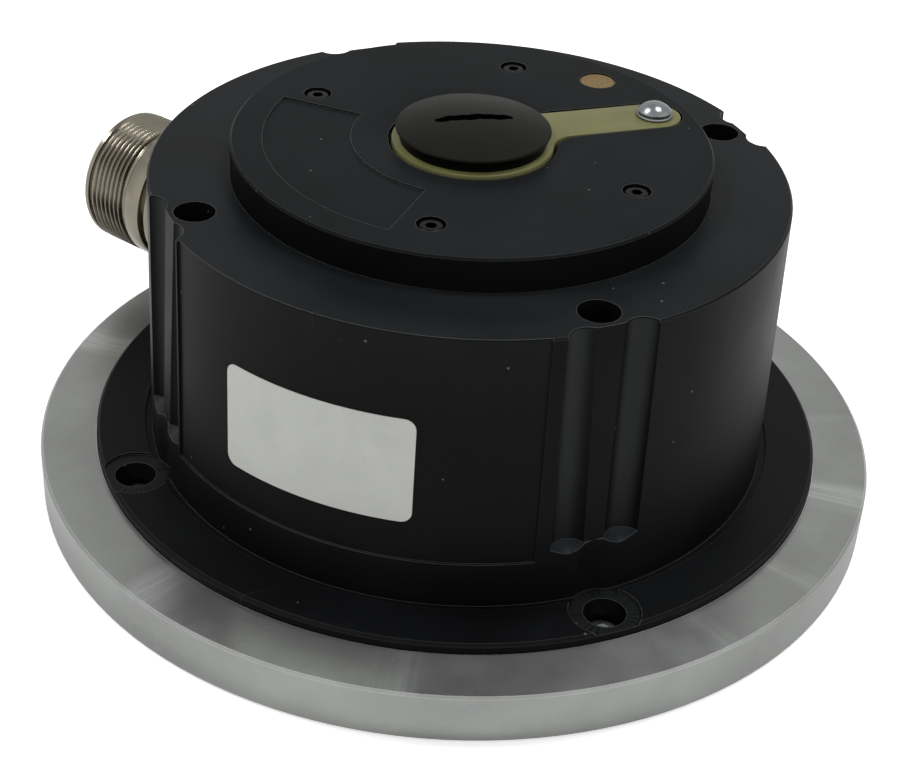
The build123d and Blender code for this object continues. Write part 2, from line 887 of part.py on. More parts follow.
def bearing_carrier():
    """Tower for the two bearings, on a flange that carries the light source and the boards."""
    carrier = turned(
        (carrier_lip_radius, carrier_foot),
        (carrier_flange_radius, carrier_foot),
        (carrier_flange_radius, carrier_flange_top),
        (carrier_radius, carrier_flange_top),
        (carrier_radius, carrier_top),
        (bearing_outer, carrier_top),
        (bearing_outer, bore_circlip_top),
        (bearing_outer + circlip_groove, bore_circlip_top),
        (bearing_outer + circlip_groove, bore_circlip_foot),
        (bearing_outer, bore_circlip_foot),
        (bearing_outer, bearing_foot),
        (carrier_lip_radius, bearing_foot),
    )
    low = carrier_foot - cut_over
    for angle in pillar_angles:
        carrier -= rod(m25_radius + screw_gap, low, carrier_top, station(pillar_circle, angle))
    for angle in carrier_lug_angles:
        place = station(coupling_screw_circle, angle)
        carrier -= rod(m25_radius + thread_gap, low, carrier_top, place)
    for angle in base_lug_angles:
        place = station(coupling_screw_circle, angle)
        carrier -= rod(base_pad_radius + cut_over, low, carrier_top, place)
    return carrier


def stator_coupling():
    """Thin spring plate: two of its lugs hold the base plate, the other two the carrier."""
    plate = tube(coupling_inner, coupling_outer, coupling_foot, carrier_foot)
    slot_low = coupling_foot - cut_over
    slot_high = carrier_foot + cut_over
    slot_inner = coupling_screw_circle - coupling_slot_width / 2
    slot_outer = slot_inner + coupling_slot_width
    lugs = base_lug_angles + carrier_lug_angles
    for angle in lugs:
        plate -= rod(
            m25_radius + screw_gap, slot_low, slot_high, station(coupling_screw_circle, angle)
        )
        start = angle + 180 / len(lugs) - coupling_slot_arc / 2
        plate -= tube_sector(slot_inner, slot_outer, slot_low, slot_high, start, coupling_slot_arc)
    return plate


def coupling_screws():
    """Two screws down into the base plate and two up into the carrier."""
    down = rod(m25_radius, carrier_foot - coupling_screw_length, carrier_foot)
    down += rod(coupling_screw_head, carrier_foot, carrier_foot + coupling_screw_head_height)
    up = rod(m25_radius, coupling_foot, coupling_foot + coupling_screw_length)
    up += rod(coupling_screw_head, coupling_foot - coupling_screw_head_height, coupling_foot)
    screws = [station(coupling_screw_circle, angle) * down for angle in base_lug_angles]
    screws += [station(coupling_screw_circle, angle) * up for angle in carrier_lug_angles]
    return group(screws)


def bearing_spacer():
    return tube(outer_land, bearing_outer, bearing_foot + bearing_width, upper_bearing_foot)


def shaft_spacer():
    return tube(bearing_bore, inner_land, bearing_foot + bearing_width, upper_bearing_foot)


def wave_spring():
    """Preload spring on the upper outer ring, at its working height."""
    inner = outer_land + wave_spring_gap
    outer = bearing_outer - slip_gap
    return tube(inner, outer, upper_bearing_top, bore_circlip_foot)


def circlip(inner, outer, low, high):
    """Snap ring with the gap between its ends."""
    ring = tube(inner, outer, low, high)
    return ring - tube_sector(
        inner - cut_over,
        outer + cut_over,
        low - cut_over,
        high + cut_over,
        circlip_gap_start,
        circlip_gap_arc,
    )


def bore_circlip():
    outer = bearing_outer + circlip_groove
    return circlip(outer - circlip_reach, outer, bore_circlip_foot, bore_circlip_top)


def shaft_circlip():
    inner = bearing_bore - shaft_circlip_groove
    return circlip(inner, inner + shaft_circlip_reach, upper_bearing_top, shaft_circlip_top)


def hollow_shaft():
    hole = shaft_screw_radius + screw_gap
    groove = bearing_bore - shaft_circlip_groove
    shoulder_foot = bearing_foot - shaft_shoulder_height
    return turned(
        (shaft_bore_radius + shaft_edge, shaft_foot),
        (bearing_bore - shaft_edge, shaft_foot),
        (bearing_bore, shaft_foot + shaft_edge),
        (bearing_bore, shoulder_foot),
        (shaft_shoulder_radius, shoulder_foot),
        (shaft_shoulder_radius, bearing_foot),
        (bearing_bore, bearing_foot),
        (bearing_bore, upper_bearing_top),
        (groove, upper_bearing_top),
        (groove, shaft_circlip_top),
        (bearing_bore, shaft_circlip_top),
        (bearing_bore, shaft_top - shaft_edge),
        (bearing_bore - shaft_edge, shaft_top),
        (shaft_pocket_radius, shaft_top),
        (shaft_pocket_radius, shaft_web_top),
        (hole, shaft_web_top),
        (hole, shaft_web_foot),
        (shaft_relief_radius, shaft_web_foot),
        (shaft_relief_radius, shaft_fit_top),
        (shaft_bore_radius, shaft_fit_top),
        (shaft_bore_radius, shaft_foot + shaft_edge),
    )


def shaft_screw():
    """Central screw that draws the encoder onto the motor's shaft end."""
    return socket_screw(
        shaft_screw_radius,
        shaft_screw_head,
        shaft_screw_head_height,
        shaft_screw_length,
        shaft_screw_hex,
        shaft_web_top,
    )


def disc_hub():
    """Hub that centres the code disc on the shaft."""
    return turned(
        (bearing_bore, hub_foot),
        (hub_radius, hub_foot),
        (hub_radius, disc_foot),
        (hub_step_radius, disc_foot),
        (hub_step_radius, disc_top),
        (bearing_bore, disc_top),
    )


def code_disc():
    return tube(hub_step_radius, code_disc_radius, disc_foot, disc_top)


def disc_clamp_ring():
    return tube(bearing_bore, hub_radius, disc_top, clamp_ring_top)


def light_source():
    """Lamp block that stands on the carrier and shines up through the code disc."""
    length, width = light_source_size
    height = disc_foot - reader_air_gap - carrier_flange_top
    middle = carrier_radius + light_source_gap + length / 2
    place = station(middle, reader_angle) * Pos(0, 0, carrier_flange_top)
    return place * Box(length, width, height, align=BASE)


def detector_reader():
    """Photo detector under the lower board, above the code disc's tracks."""
    low = disc_top + reader_air_gap
    place = station(reader_circle, reader_angle) * Pos(0, 0, low)
    return place * Box(*detector_size, board_foot - low, align=BASE)


def board(low):
    plate = tube(board_hole_radius, board_radius, low, low + board_thickness)
    for angle in pillar_angles:
        place = station(pillar_circle, angle)
        plate -= rod(m25_radius + screw_gap, low - cut_over, low + board_thickness + cut_over, place)
    return plate


def board_pillars():
    pillar = hex_prism(pillar_across_flats, carrier_flange_top, board_foot)
    pillar -= rod(m25_radius + thread_gap, carrier_flange_top - cut_over, board_foot + cut_over)
    return group(station(pillar_circle, angle) * pillar for angle in pillar_angles)


def board_spacers():
    spacer = hex_prism(pillar_across_flats, board_top, upper_board_foot)
    spacer -= rod(m25_radius + screw_gap, board_top - cut_over, upper_board_foot + cut_over)
    return group(station(pillar_circle, angle) * spacer for angle in pillar_angles)


def board_screws():
    screw = rod(m25_radius, board_foot - pillar_thread_reach, upper_board_top)
    screw += rod(board_screw_head, upper_board_top, upper_board_top + board_screw_head_height)
    return group(station(pillar_circle, angle) * screw for angle in pillar_angles)


def pillar_screws():
    """Screws up through the carrier's flange into the pillars."""
    screw = rod(m25_radius, carrier_foot, carrier_flange_top + pillar_thread_reach)
    return group(station(pillar_circle, angle) * screw for angle in pillar_angles)


def signal_processor():
    place = station(processor_circle, processor_angle) * Pos(0, 0, upper_board_top)
    return place * Box(*processor_size, align=BASE)


parts = {
    "adapter_ring": adapter_ring(),
    "housing": housing(),
    "base_plate": base_plate(),
    "shaft_seal": shaft_seal(),
    "housing_screws": housing_screws(),
    "flange_screws": flange_screws(),
    "cover_disc": cover_disc(),
    "cover_gasket": cover_gasket(),
    "cover_screws": cover_screws(),
    "vent_disc": vent_disc(),
    "retaining_strap": retaining_strap(),
    "strap_washer": strap_washer(),
    "strap_screw": strap_screw(),
    "sealing_plug": sealing_plug(),
    "plug_o_ring": plug_o_ring(),
    "connector_shell": connector_shell(),
    "connector_gasket": connector_gasket(),
    "connector_nut": connector_nut(),
    "connector_insert": connector_insert(),
    "contact_pins": contact_pins(),
    "internal_lead": internal_lead(),
    "lead_header": lead_header(),
    "bearing_carrier": bearing_carrier(),
    "stator_coupling": stator_coupling(),
    "coupling_screws": coupling_screws(),
    "bearing_spacer": bearing_spacer(),
    "shaft_spacer": shaft_spacer(),
    "wave_spring": wave_spring(),
    "bore_circlip": bore_circlip(),
    "shaft_circlip": shaft_circlip(),
    "hollow_shaft": hollow_shaft(),
    "shaft_screw": shaft_screw(),
    "disc_hub": disc_hub(),
    "code_disc": code_disc(),
    "disc_clamp_ring": disc_clamp_ring(),
    "light_source": light_source(),
    "detector_reader": detector_reader(),
    "lower_board": board(board_foot),
    "upper_board": board(upper_board_foot),
    "board_pillars": board_pillars(),
    "board_spacers": board_spacers(),
    "board_screws": board_screws(),
    "pillar_screws": pillar_screws(),
    "signal_processor": signal_processor(),
}
for side, foot in (("lower", bearing_foot), ("upper", upper_bearing_foot)):
    parts[f"{side}_bearing_outer_ring"] = bearing_outer_ring(foot)
    parts[f"{side}_bearing_inner_ring"] = bearing_inner_ring(foot)
    parts[f"{side}_bearing_balls"] = bearing_balls(foot)
    parts[f"{side}_bearing_cage"] = bearing_cage(foot)

os.makedirs("parts", exist_ok=True)
for name, shape in parts.items():
    export_step(shape, f"parts/{name}.step")
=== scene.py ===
"""Motor feedback encoder: the looks of every piece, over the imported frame, in metres."""

import json
from math import asin, cos, degrees, pi, radians, sin, tau

import bpy
from mathutils import Matrix, Vector

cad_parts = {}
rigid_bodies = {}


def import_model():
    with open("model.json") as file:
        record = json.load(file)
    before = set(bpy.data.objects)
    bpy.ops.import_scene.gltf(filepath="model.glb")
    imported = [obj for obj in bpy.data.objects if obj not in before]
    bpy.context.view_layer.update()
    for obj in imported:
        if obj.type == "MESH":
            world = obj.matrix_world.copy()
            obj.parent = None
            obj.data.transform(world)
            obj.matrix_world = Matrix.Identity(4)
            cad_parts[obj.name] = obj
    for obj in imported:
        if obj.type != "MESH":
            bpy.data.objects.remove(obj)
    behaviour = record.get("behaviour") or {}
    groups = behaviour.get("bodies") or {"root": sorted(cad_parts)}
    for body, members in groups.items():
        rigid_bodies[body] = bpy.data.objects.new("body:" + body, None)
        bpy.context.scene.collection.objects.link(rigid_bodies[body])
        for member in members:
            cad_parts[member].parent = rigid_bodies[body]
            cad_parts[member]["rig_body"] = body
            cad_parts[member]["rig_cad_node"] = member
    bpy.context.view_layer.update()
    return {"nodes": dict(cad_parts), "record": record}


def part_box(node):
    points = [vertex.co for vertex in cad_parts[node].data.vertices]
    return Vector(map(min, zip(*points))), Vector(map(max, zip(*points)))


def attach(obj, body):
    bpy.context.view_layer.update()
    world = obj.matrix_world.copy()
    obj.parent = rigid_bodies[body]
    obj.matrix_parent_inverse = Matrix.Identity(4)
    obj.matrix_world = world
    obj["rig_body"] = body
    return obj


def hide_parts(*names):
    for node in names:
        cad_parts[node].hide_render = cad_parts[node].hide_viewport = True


bl_info = {
    "name": "Motor Feedback Encoder",
    "version": (1, 0, 0),
    "blender": (4, 5, 0),
    "location": "View3D > Sidebar > Encoder",
    "description": "Builds the visible pieces and finishes of a motor feedback encoder",
    "category": "Add Mesh",
}

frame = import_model()

BODY = "encoder_body"
PLUG_BODY = "plug"

# Places on the housing that finishes and pieces follow, in metres and degrees
FLANGE_SCREW_CIRCLE = 0.0539
SPOT_FACE_INNER, SPOT_FACE_OUTER, SPOT_FACE_TOP = 0.0031, 0.0050, 0.0115
FLUTE_INNER, FLUTE_FLOOR, FLUTE_WAIST, FLUTE_LIP = 0.0455, 0.0460, 0.0472, 0.0484
FLUTE_FOOT, FLUTE_END_TOP, FLUTE_TOP = 0.0172, 0.0220, 0.0532
WALL_FOOT, WALL_TOP = 0.0098, 0.0535
WALL_FOOT_RADIUS, WALL_TOP_RADIUS = 0.0494, 0.0485
LABEL_FLAT_DEPTH, LABEL_CLEARANCE = 0.00035, 0.00002
COVER_SCREW_ANGLES = (52.7, 127.5, 234.5, 305.3)


# Sizes and colours a user may change


def length(name, default):
    return bpy.props.FloatProperty(name=name, default=default, unit="LENGTH", precision=5)


class EncoderSizes(bpy.types.PropertyGroup):
    turn_steps: bpy.props.IntProperty(
        name="Turn Steps",
        description="Faces round a large turned piece",
        default=192,
        min=32,
        max=512,
    )
    thread_pitch: bpy.props.FloatProperty(
        name="Thread Pitch",
        description="Distance between the connector's thread crests",
        default=0.00105,
        unit="LENGTH",
        precision=5,
    )
    thread_turns: bpy.props.IntProperty(
        name="Thread Turns",
        description="Full turns of the connector's thread",
        default=7,
    )
    thread_depth: bpy.props.FloatProperty(
        name="Thread Depth",
        description="Depth of the connector's thread",
        default=0.00055,
        unit="LENGTH",
        precision=5,
    )
    connector_angle: bpy.props.FloatProperty(
        name="Connector Angle",
        description="Direction of the connector about the shaft's axis",
        default=radians(119.3),
        subtype="ANGLE",
    )
    label_width: bpy.props.FloatProperty(
        name="Label Width", description="Bare label, along the wall", default=0.0300, unit="LENGTH"
    )
    label_height: bpy.props.FloatProperty(
        name="Label Height", description="Bare label, up the wall", default=0.0170, unit="LENGTH"
    )
    label_angle: bpy.props.FloatProperty(
        name="Label Angle",
        description="Direction of the label's middle about the shaft's axis",
        default=radians(-138.9),
        subtype="ANGLE",
    )
    label_foot: bpy.props.FloatProperty(
        name="Label Foot",
        description="Height of the label's lower edge",
        default=0.0232,
        unit="LENGTH",
    )


def colour(name, description, default):
    return bpy.props.FloatVectorProperty(
        name=name,
        description=description,
        subtype="COLOR",
        size=4,
        min=0,
        max=1,
        default=(*default, 1),
    )


class EncoderColours(bpy.types.PropertyGroup):
    aluminium: colour("Bare Aluminium", "Turned adapter ring", (0.348, 0.358, 0.350))
    black: colour("Black Anodising", "Housing and base plate", (0.0032, 0.0034, 0.0038))
    cover: colour("Cover Black", "Cover disc", (0.0028, 0.0029, 0.0030))
    plug: colour("Plug Black", "Moulded sealing plug", (0.0070, 0.0068, 0.0052))
    strap: colour("Olive", "Retaining strap", (0.134, 0.133, 0.050))
    zinc: colour("Zinc", "Plated screws and washer", (0.31, 0.33, 0.34))
    nickel: colour("Nickel", "Plated connector shell", (0.285, 0.258, 0.208))
    bronze: colour("Sintered Bronze", "Porous vent disc", (0.300, 0.205, 0.088))
    label: colour("Label", "Bare label", (0.465, 0.475, 0.455))
    floor: colour("Floor", "Pale studio floor", (0.80, 0.80, 0.80))


def sizes():
    return bpy.context.scene.encoder_sizes


def colours():
    return bpy.context.scene.encoder_colours


# Node helpers


def add(tree, kind, inputs=None, **settings):
    """A new shader node with its settings; an input takes a value or another node's socket."""
    node = tree.nodes.new(kind)
    for name, value in settings.items():
        setattr(node, name, value)
    for name, value in (inputs or {}).items():
        if isinstance(value, bpy.types.NodeSocket):
            tree.links.new(value, node.inputs[name])
        else:
            node.inputs[name].default_value = value
    return node


SOCKETS = {
    "metallic": "Metallic",
    "roughness": "Roughness",
    "ior": "IOR",
    "specular": "Specular IOR Level",
    "transmission": "Transmission Weight",
}


def new_finish(name, **constants):
    """A material in place of the frame's plain one of that name, with its even values set."""
    plain = bpy.data.materials.get(name)
    if plain is not None:
        bpy.data.materials.remove(plain)
    material = bpy.data.materials.new(name)
    material.use_nodes = True
    shader = material.node_tree.nodes["Principled BSDF"]
    for socket, value in constants.items():
        shader.inputs[SOCKETS[socket]].default_value = value
    return material, material.node_tree, shader


def object_coordinates(tree):
    return add(tree, "ShaderNodeTexCoord").outputs["Object"]


def scaled(tree, vector, scale, turn):
    inputs = {"Vector": vector, "Scale": scale, "Rotation": turn}
    return add(tree, "ShaderNodeMapping", inputs).outputs["Vector"]


def noise(tree, vector, scale, detail=2.0, roughness=0.5):
    inputs = {"Vector": vector, "Scale": scale, "Detail": detail, "Roughness": roughness}
    return add(tree, "ShaderNodeTexNoise", inputs).outputs["Fac"]


def spread(tree, value, low, high, to_low, to_high, smooth=False):
    """Maps a span of one value onto a span of another, and holds it at the ends."""
    node = add(
        tree,
        "ShaderNodeMapRange",
        {"Value": value, "From Min": low, "From Max": high, "To Min": to_low, "To Max": to_high},
        interpolation_type="SMOOTHSTEP" if smooth else "LINEAR",
    )
    return node.outputs["Result"]


def maths(tree, operation, first, second=0.0):
    node = add(tree, "ShaderNodeMath", {0: first, 1: second}, operation=operation)
    return node.outputs[0]


def product(tree, first, *factors):
    """Values multiplied one after the other."""
    for factor in factors:
        first = maths(tree, "MULTIPLY", first, factor)
    return first


def shade(base, factor):
    """A colour made darker or paler, with full alpha."""
    return tuple(min(1.0, part * factor) for part in base[:3]) + (1,)


def feed(tree, shader, socket, value):
    """Links a value to a socket of the shader."""
    tree.links.new(value, shader.inputs[socket])


def blend(tree, share, first, second):
    """Mixes two colours, each a socket or a plain colour."""
    node = add(tree, "ShaderNodeMix", data_type="RGBA")
    for place, value in ((0, share), (6, first), (7, second)):
        if isinstance(value, bpy.types.NodeSocket):
            tree.links.new(value, node.inputs[place])
        else:
            node.inputs[place].default_value = value
    return node.outputs[2]


def bump(tree, height, strength, distance, normal=None):
    inputs = {"Height": height, "Strength": strength, "Distance": distance}
    if normal is not None:
        inputs["Normal"] = normal
    return add(tree, "ShaderNodeBump", inputs).outputs["Normal"]


def polar(tree, vector):
    """Radius, angle and height about Z, for marks that a lathe or a mill leaves."""
    parts = add(tree, "ShaderNodeSeparateXYZ", {0: vector})
    x, y, z = parts.outputs
    square = maths(tree, "ADD", product(tree, x, x), product(tree, y, y))
    radius = maths(tree, "SQRT", square)
    angle = maths(tree, "ARCTAN2", y, x)
    return radius, angle, z


def together(tree, x, y, z):
    return add(tree, "ShaderNodeCombineXYZ", {0: x, 1: y, 2: z}).outputs[0]


def dust(tree, place, density=420.0, size=0.10):
    """Sparse specks, mostly too small to see one by one."""
    cells = add(tree, "ShaderNodeTexVoronoi", {"Vector": place, "Scale": density})
    speck = spread(tree, cells.outputs["Distance"], size * 0.5, size, 1, 0)
    kept = add(tree, "ShaderNodeSeparateColor", {0: cells.outputs["Color"]}).outputs[0]
    return product(tree, speck, maths(tree, "GREATER_THAN", kept, 0.90))


def scratches(tree, place, turn):
    """Fine straight scratches that come and go along one direction."""
    stretched = scaled(tree, place, (26, 1500, 26), turn)
    lines = noise(tree, stretched, 1.0, 1.0)
    patches = noise(tree, scaled(tree, place, (1, 1, 1), turn), 60.0, 1.0)
    line = spread(tree, lines, 0.735, 0.80, 0, 1)
    return product(tree, line, spread(tree, patches, 0.52, 0.66, 0, 1))


def at_station(tree, place):
    """Radius, distance out along the nearest screw station and across it, and height."""
    radius, angle, height = polar(tree, place)
    turn = maths(tree, "PINGPONG", maths(tree, "ADD", angle, tau), pi / 4)
    along = product(tree, radius, maths(tree, "COSINE", turn))
    across = product(tree, radius, maths(tree, "SINE", turn))
    return radius, along, across, height


def milled_rings(tree, place):
    """Short radial cutter marks on the spot faces round the flange's four pockets."""
    _, along, across, height = at_station(tree, place)
    offset = maths(tree, "SUBTRACT", along, FLANGE_SCREW_CIRCLE)
    reach, spoke, _ = polar(tree, together(tree, offset, across, 0))
    marks = noise(tree, together(tree, product(tree, spoke, 22.0), 0, 0), 1.0, 3.0, 0.7)
    return product(
        tree,
        maths(tree, "LESS_THAN", reach, SPOT_FACE_OUTER),
        maths(tree, "GREATER_THAN", reach, SPOT_FACE_INNER),
        maths(tree, "LESS_THAN", height, SPOT_FACE_TOP),
        facing_up(tree),
        spread(tree, marks, 0.48, 0.70, 0, 1),
    )


def painted_flute_sheen(tree, place):
    """One in the middle of each flute and more so higher up: the mask of a painted sheen, paler
    than the wall.
    """
    radius, _, across, height = at_station(tree, place)
    return product(
        tree,
        spread(tree, radius, FLUTE_LIP, FLUTE_WAIST, 0, 1),
        spread(tree, radius, FLUTE_INNER, FLUTE_FLOOR, 0, 1),
        spread(tree, across, 0.0020, 0.0040, 0, 1, True),
        spread(tree, height, 0.017, 0.030, 0.3, 1),
        maths(tree, "LESS_THAN", height, FLUTE_TOP),
    )


def painted_edge_highlight(tree, width=0.00016):
    """One along sharp edges, more where they look up: a painted highlight, where the rounded normal
    parts from the face's own.
    """
    soft = add(tree, "ShaderNodeBevel", {"Radius": width}, samples=6).outputs["Normal"]
    flat = add(tree, "ShaderNodeNewGeometry").outputs["True Normal"]
    alike = add(tree, "ShaderNodeVectorMath", {0: soft, 1: flat}, operation="DOT_PRODUCT")
    # mask of the painted edge highlight, where the two normals part
    worn = spread(tree, alike.outputs["Value"], 0.97, 0.82, 0, 1)
    tilt = add(tree, "ShaderNodeSeparateXYZ", {0: soft}).outputs[2]
    # painted light from above: stronger where the rounded normal looks up
    return product(tree, worn, spread(tree, tilt, 0.10, 0.45, 0.12, 1))


def facing_up(tree):
    """One on faces that look up and zero on walls: the mask of painted light on tops, of painted
    shade on sides, and of the spot faces' milling marks.
    """
    normal = add(tree, "ShaderNodeTexCoord").outputs["Normal"]
    upward = add(tree, "ShaderNodeSeparateXYZ", {0: normal}).outputs[2]
    return spread(tree, upward, 0.5, 1.0, 0, 1, True)


# Finishes


def bare_aluminium():
    """Bare turned aluminium with lathe lines, faint stains, paler streaked patches of painted
    reflection on its top, and painted highlights on its edges.
    """
    material, tree, shader = new_finish("ring_aluminium", metallic=0.82)
    place = object_coordinates(tree)
    radius, angle, height = polar(tree, place)
    across_lines = together(tree, product(tree, radius, 5200), product(tree, angle, 2.2), 0)
    lathe = noise(tree, across_lines, 1.0, 3.0, 0.6)
    up_lines = together(tree, product(tree, angle, 3.0), 0, product(tree, height, 4200))
    around = noise(tree, up_lines, 1.0, 2.0)
    stains = noise(tree, place, 55.0, 4.0, 0.6)
    tint = blend(
        tree,
        spread(tree, stains, 0.32, 0.72, 0, 1),
        shade(colours().aluminium, 0.86),
        shade(colours().aluminium, 1.08),
    )
    # painted reflection: paler streaked patches round the top face, with streaks like brush marks
    patch = noise(tree, together(tree, product(tree, angle, 3.5), 0, 0), 1.0)
    strokes = together(tree, product(tree, angle, 90), product(tree, radius, 60), 0)
    streak = spread(tree, noise(tree, strokes, 1.0), 0.3, 0.62, 0.2, 1)
    painted_reflection = product(tree, spread(tree, patch, 0.54, 0.66, 0, 0.5), streak, facing_up(tree))
    tint = blend(tree, painted_reflection, tint, (0.70, 0.72, 0.71, 1))
    # painted highlight: edges blended towards white
    tint = blend(tree, product(tree, painted_edge_highlight(tree, 0.00028), 0.9), tint, (1, 1, 1, 1))
    feed(tree, shader, "Base Color", tint)
    rough = spread(tree, stains, 0.3, 0.7, 0.24, 0.36)
    feed(tree, shader, "Roughness", rough)
    marks = bump(tree, lathe, 0.35, 0.00002)
    marks = bump(tree, around, 0.30, 0.00002, marks)
    feed(tree, shader, "Normal", marks)
    return material


def black_finish(name, base, rough_low, rough_high, specular, edge):
    """Satin black with fine grain, dust, faint scratches, and painted light on tops, flute ends,
    flutes and edges.
    """
    material, tree, shader = new_finish(name, specular=specular)
    place = object_coordinates(tree)
    cloud = noise(tree, place, 38.0, 4.0, 0.55)
    tint = blend(
        tree,
        spread(tree, cloud, 0.35, 0.68, 0, 1),
        shade(base, 0.82),
        shade(base, 1.35),
    )
    one_way = scratches(tree, place, (0.2, 0.1, 0.9))
    other_way = scratches(tree, place, (0.1, 0.4, 2.3))
    fine = maths(tree, "MAXIMUM", one_way, other_way)
    height = add(tree, "ShaderNodeSeparateXYZ", {0: place}).outputs[2]
    # painted light: faces that look up are paler, more so higher up
    painted_top_light = product(
        tree,
        facing_up(tree),
        spread(tree, cloud, 0.3, 0.7, 0.010, 0.022),
        spread(tree, height, 0.012, 0.050, 0.25, 1),
    )
    # painted reflection of the sky on the flat flute ends that look up
    above_foot = maths(tree, "GREATER_THAN", height, FLUTE_FOOT)
    below_top = maths(tree, "LESS_THAN", height, FLUTE_END_TOP)
    painted_flute_end_light = product(tree, above_foot, below_top, facing_up(tree), 0.06)
    layers = (
        (product(tree, fine, 0.05), (0.30, 0.30, 0.29, 1)),
        (product(tree, dust(tree, place), 0.22), (0.42, 0.41, 0.38, 1)),
        # painted light on tops and flute ends, in a pale sky blue
        (maths(tree, "ADD", painted_top_light, painted_flute_end_light), (0.31, 0.36, 0.41, 1)),
        # painted sheen in the middle of each flute
        (product(tree, painted_flute_sheen(tree, place), 0.045), (0.36, 0.38, 0.38, 1)),
        (product(tree, milled_rings(tree, place), 0.14), (0.30, 0.32, 0.33, 1)),
        # painted highlight along the edges, as strong as edge
        (product(tree, painted_edge_highlight(tree), edge), (0.24, 0.25, 0.25, 1)),
    )
    for share, layer in layers:
        tint = blend(tree, share, tint, layer)
    feed(tree, shader, "Base Color", tint)
    feed(tree, shader, "Roughness", spread(tree, cloud, 0.3, 0.7, rough_low, rough_high))
    grain = noise(tree, place, 1500.0, 3.0, 0.6)
    feed(tree, shader, "Normal", bump(tree, grain, 0.24, 0.00004))
    return material


def olive_plate():
    """Olive strap with a faint cloudiness."""
    material, tree, shader = new_finish("strap_olive", specular=0.35)
    place = object_coordinates(tree)
    cloud = noise(tree, place, 130.0, 3.0, 0.5)
    base = colours().strap
    tint = blend(
        tree,
        spread(tree, cloud, 0.3, 0.7, 0, 1),
        (base[0] * 0.90, base[1] * 0.90, base[2] * 0.86, 1),
        (base[0] * 1.10, base[1] * 1.08, base[2] * 1.12, 1),
    )
    feed(tree, shader, "Base Color", tint)
    feed(tree, shader, "Roughness", spread(tree, cloud, 0.3, 0.7, 0.36, 0.48))
    feed(tree, shader, "Normal", bump(tree, noise(tree, place, 1800.0, 2.0), 0.12, 0.00002))
    return material


def plated(name, base, rough_low, rough_high, grain_scale=1600.0, marks=0.12):
    """Plated or ground metal with a light grain."""
    material, tree, shader = new_finish(name, metallic=1.0)
    place = object_coordinates(tree)
    cloud = noise(tree, place, 240.0, 3.0, 0.55)
    tint = blend(
        tree,
        spread(tree, cloud, 0.3, 0.7, 0, 1),
        shade(base, 0.88),
        shade(base, 1.06),
    )
    feed(tree, shader, "Base Color", tint)
    feed(tree, shader, "Roughness", spread(tree, cloud, 0.3, 0.7, rough_low, rough_high))
    grain = noise(tree, place, grain_scale, 2.0)
    feed(tree, shader, "Normal", bump(tree, grain, marks, 0.00002))
    return material


def turned_metal(name, base, rough, line_scale=5000.0):
    """Steel or aluminium turned about the shaft's axis, with fine lathe lines."""
    material, tree, shader = new_finish(name, metallic=1.0, roughness=rough)
    place = object_coordinates(tree)
    radius, angle, height = polar(tree, place)
    reach = maths(tree, "ADD", radius, height)
    lines = noise(tree, together(tree, product(tree, reach, line_scale), angle, 0), 1.0, 2.0)
    tint = blend(
        tree,
        spread(tree, lines, 0.3, 0.7, 0, 1),
        shade(base, 0.9),
        shade(base, 1.06),
    )
    feed(tree, shader, "Base Color", tint)
    feed(tree, shader, "Normal", bump(tree, lines, 0.2, 0.00002))
    return material


def moulded(name, base, rough, specular=0.4, grain=900.0, side=1.0):
    """Moulded plastic or rubber with a matt grain, and painted shade that may make the sides darker
    than the top.
    """
    material, tree, shader = new_finish(name, specular=specular)
    place = object_coordinates(tree)
    cloud = noise(tree, place, 90.0, 3.0)
    tint = blend(
        tree,
        spread(tree, cloud, 0.3, 0.7, 0, 1),
        shade(base, 0.85),
        shade(base, 1.15),
    )
    # painted shade: faces that don't look up take side times the colour
    if side < 1:
        tint = blend(tree, facing_up(tree), shade(base, side), tint)
    feed(tree, shader, "Base Color", tint)
    feed(tree, shader, "Roughness", spread(tree, cloud, 0.3, 0.7, rough * 0.88, rough * 1.12))
    feed(tree, shader, "Normal", bump(tree, noise(tree, place, grain, 3.0), 0.15, 0.00004))
    return material


def porous_bronze():
    """Sintered bronze: small pale grains with darker gaps."""
    material, tree, shader = new_finish("sintered_bronze", metallic=0.6)
    place = object_coordinates(tree)
    cells = add(tree, "ShaderNodeTexVoronoi", {"Vector": place, "Scale": 3600.0})
    cells = cells.outputs["Distance"]
    grains = spread(tree, cells, 0.15, 0.6, 1, 0)
    base = colours().bronze
    tint = blend(tree, grains, (base[0] * 0.62, base[1] * 0.60, base[2] * 0.58, 1), base[:])
    feed(tree, shader, "Base Color", tint)
    feed(tree, shader, "Roughness", spread(tree, cells, 0.1, 0.6, 0.38, 0.7))
    feed(tree, shader, "Normal", bump(tree, grains, 0.6, 0.00006))
    return material


def coded_glass():
    """Glass disc with two rings of fine dark lines."""
    material, tree, shader = new_finish("code_glass", ior=1.5, roughness=0.04, transmission=0.85)
    radius, angle, _ = polar(tree, object_coordinates(tree))
    fine = maths(tree, "GREATER_THAN", maths(tree, "SINE", product(tree, angle, 512)), 0.0)
    track = maths(tree, "GREATER_THAN", radius, 0.0228)
    rim = maths(tree, "LESS_THAN", radius, 0.0268)
    dark = product(tree, fine, product(tree, track, rim))
    pale, ink = (0.80, 0.84, 0.83, 1), (0.02, 0.02, 0.02, 1)
    feed(tree, shader, "Base Color", blend(tree, dark, pale, ink))
    return material


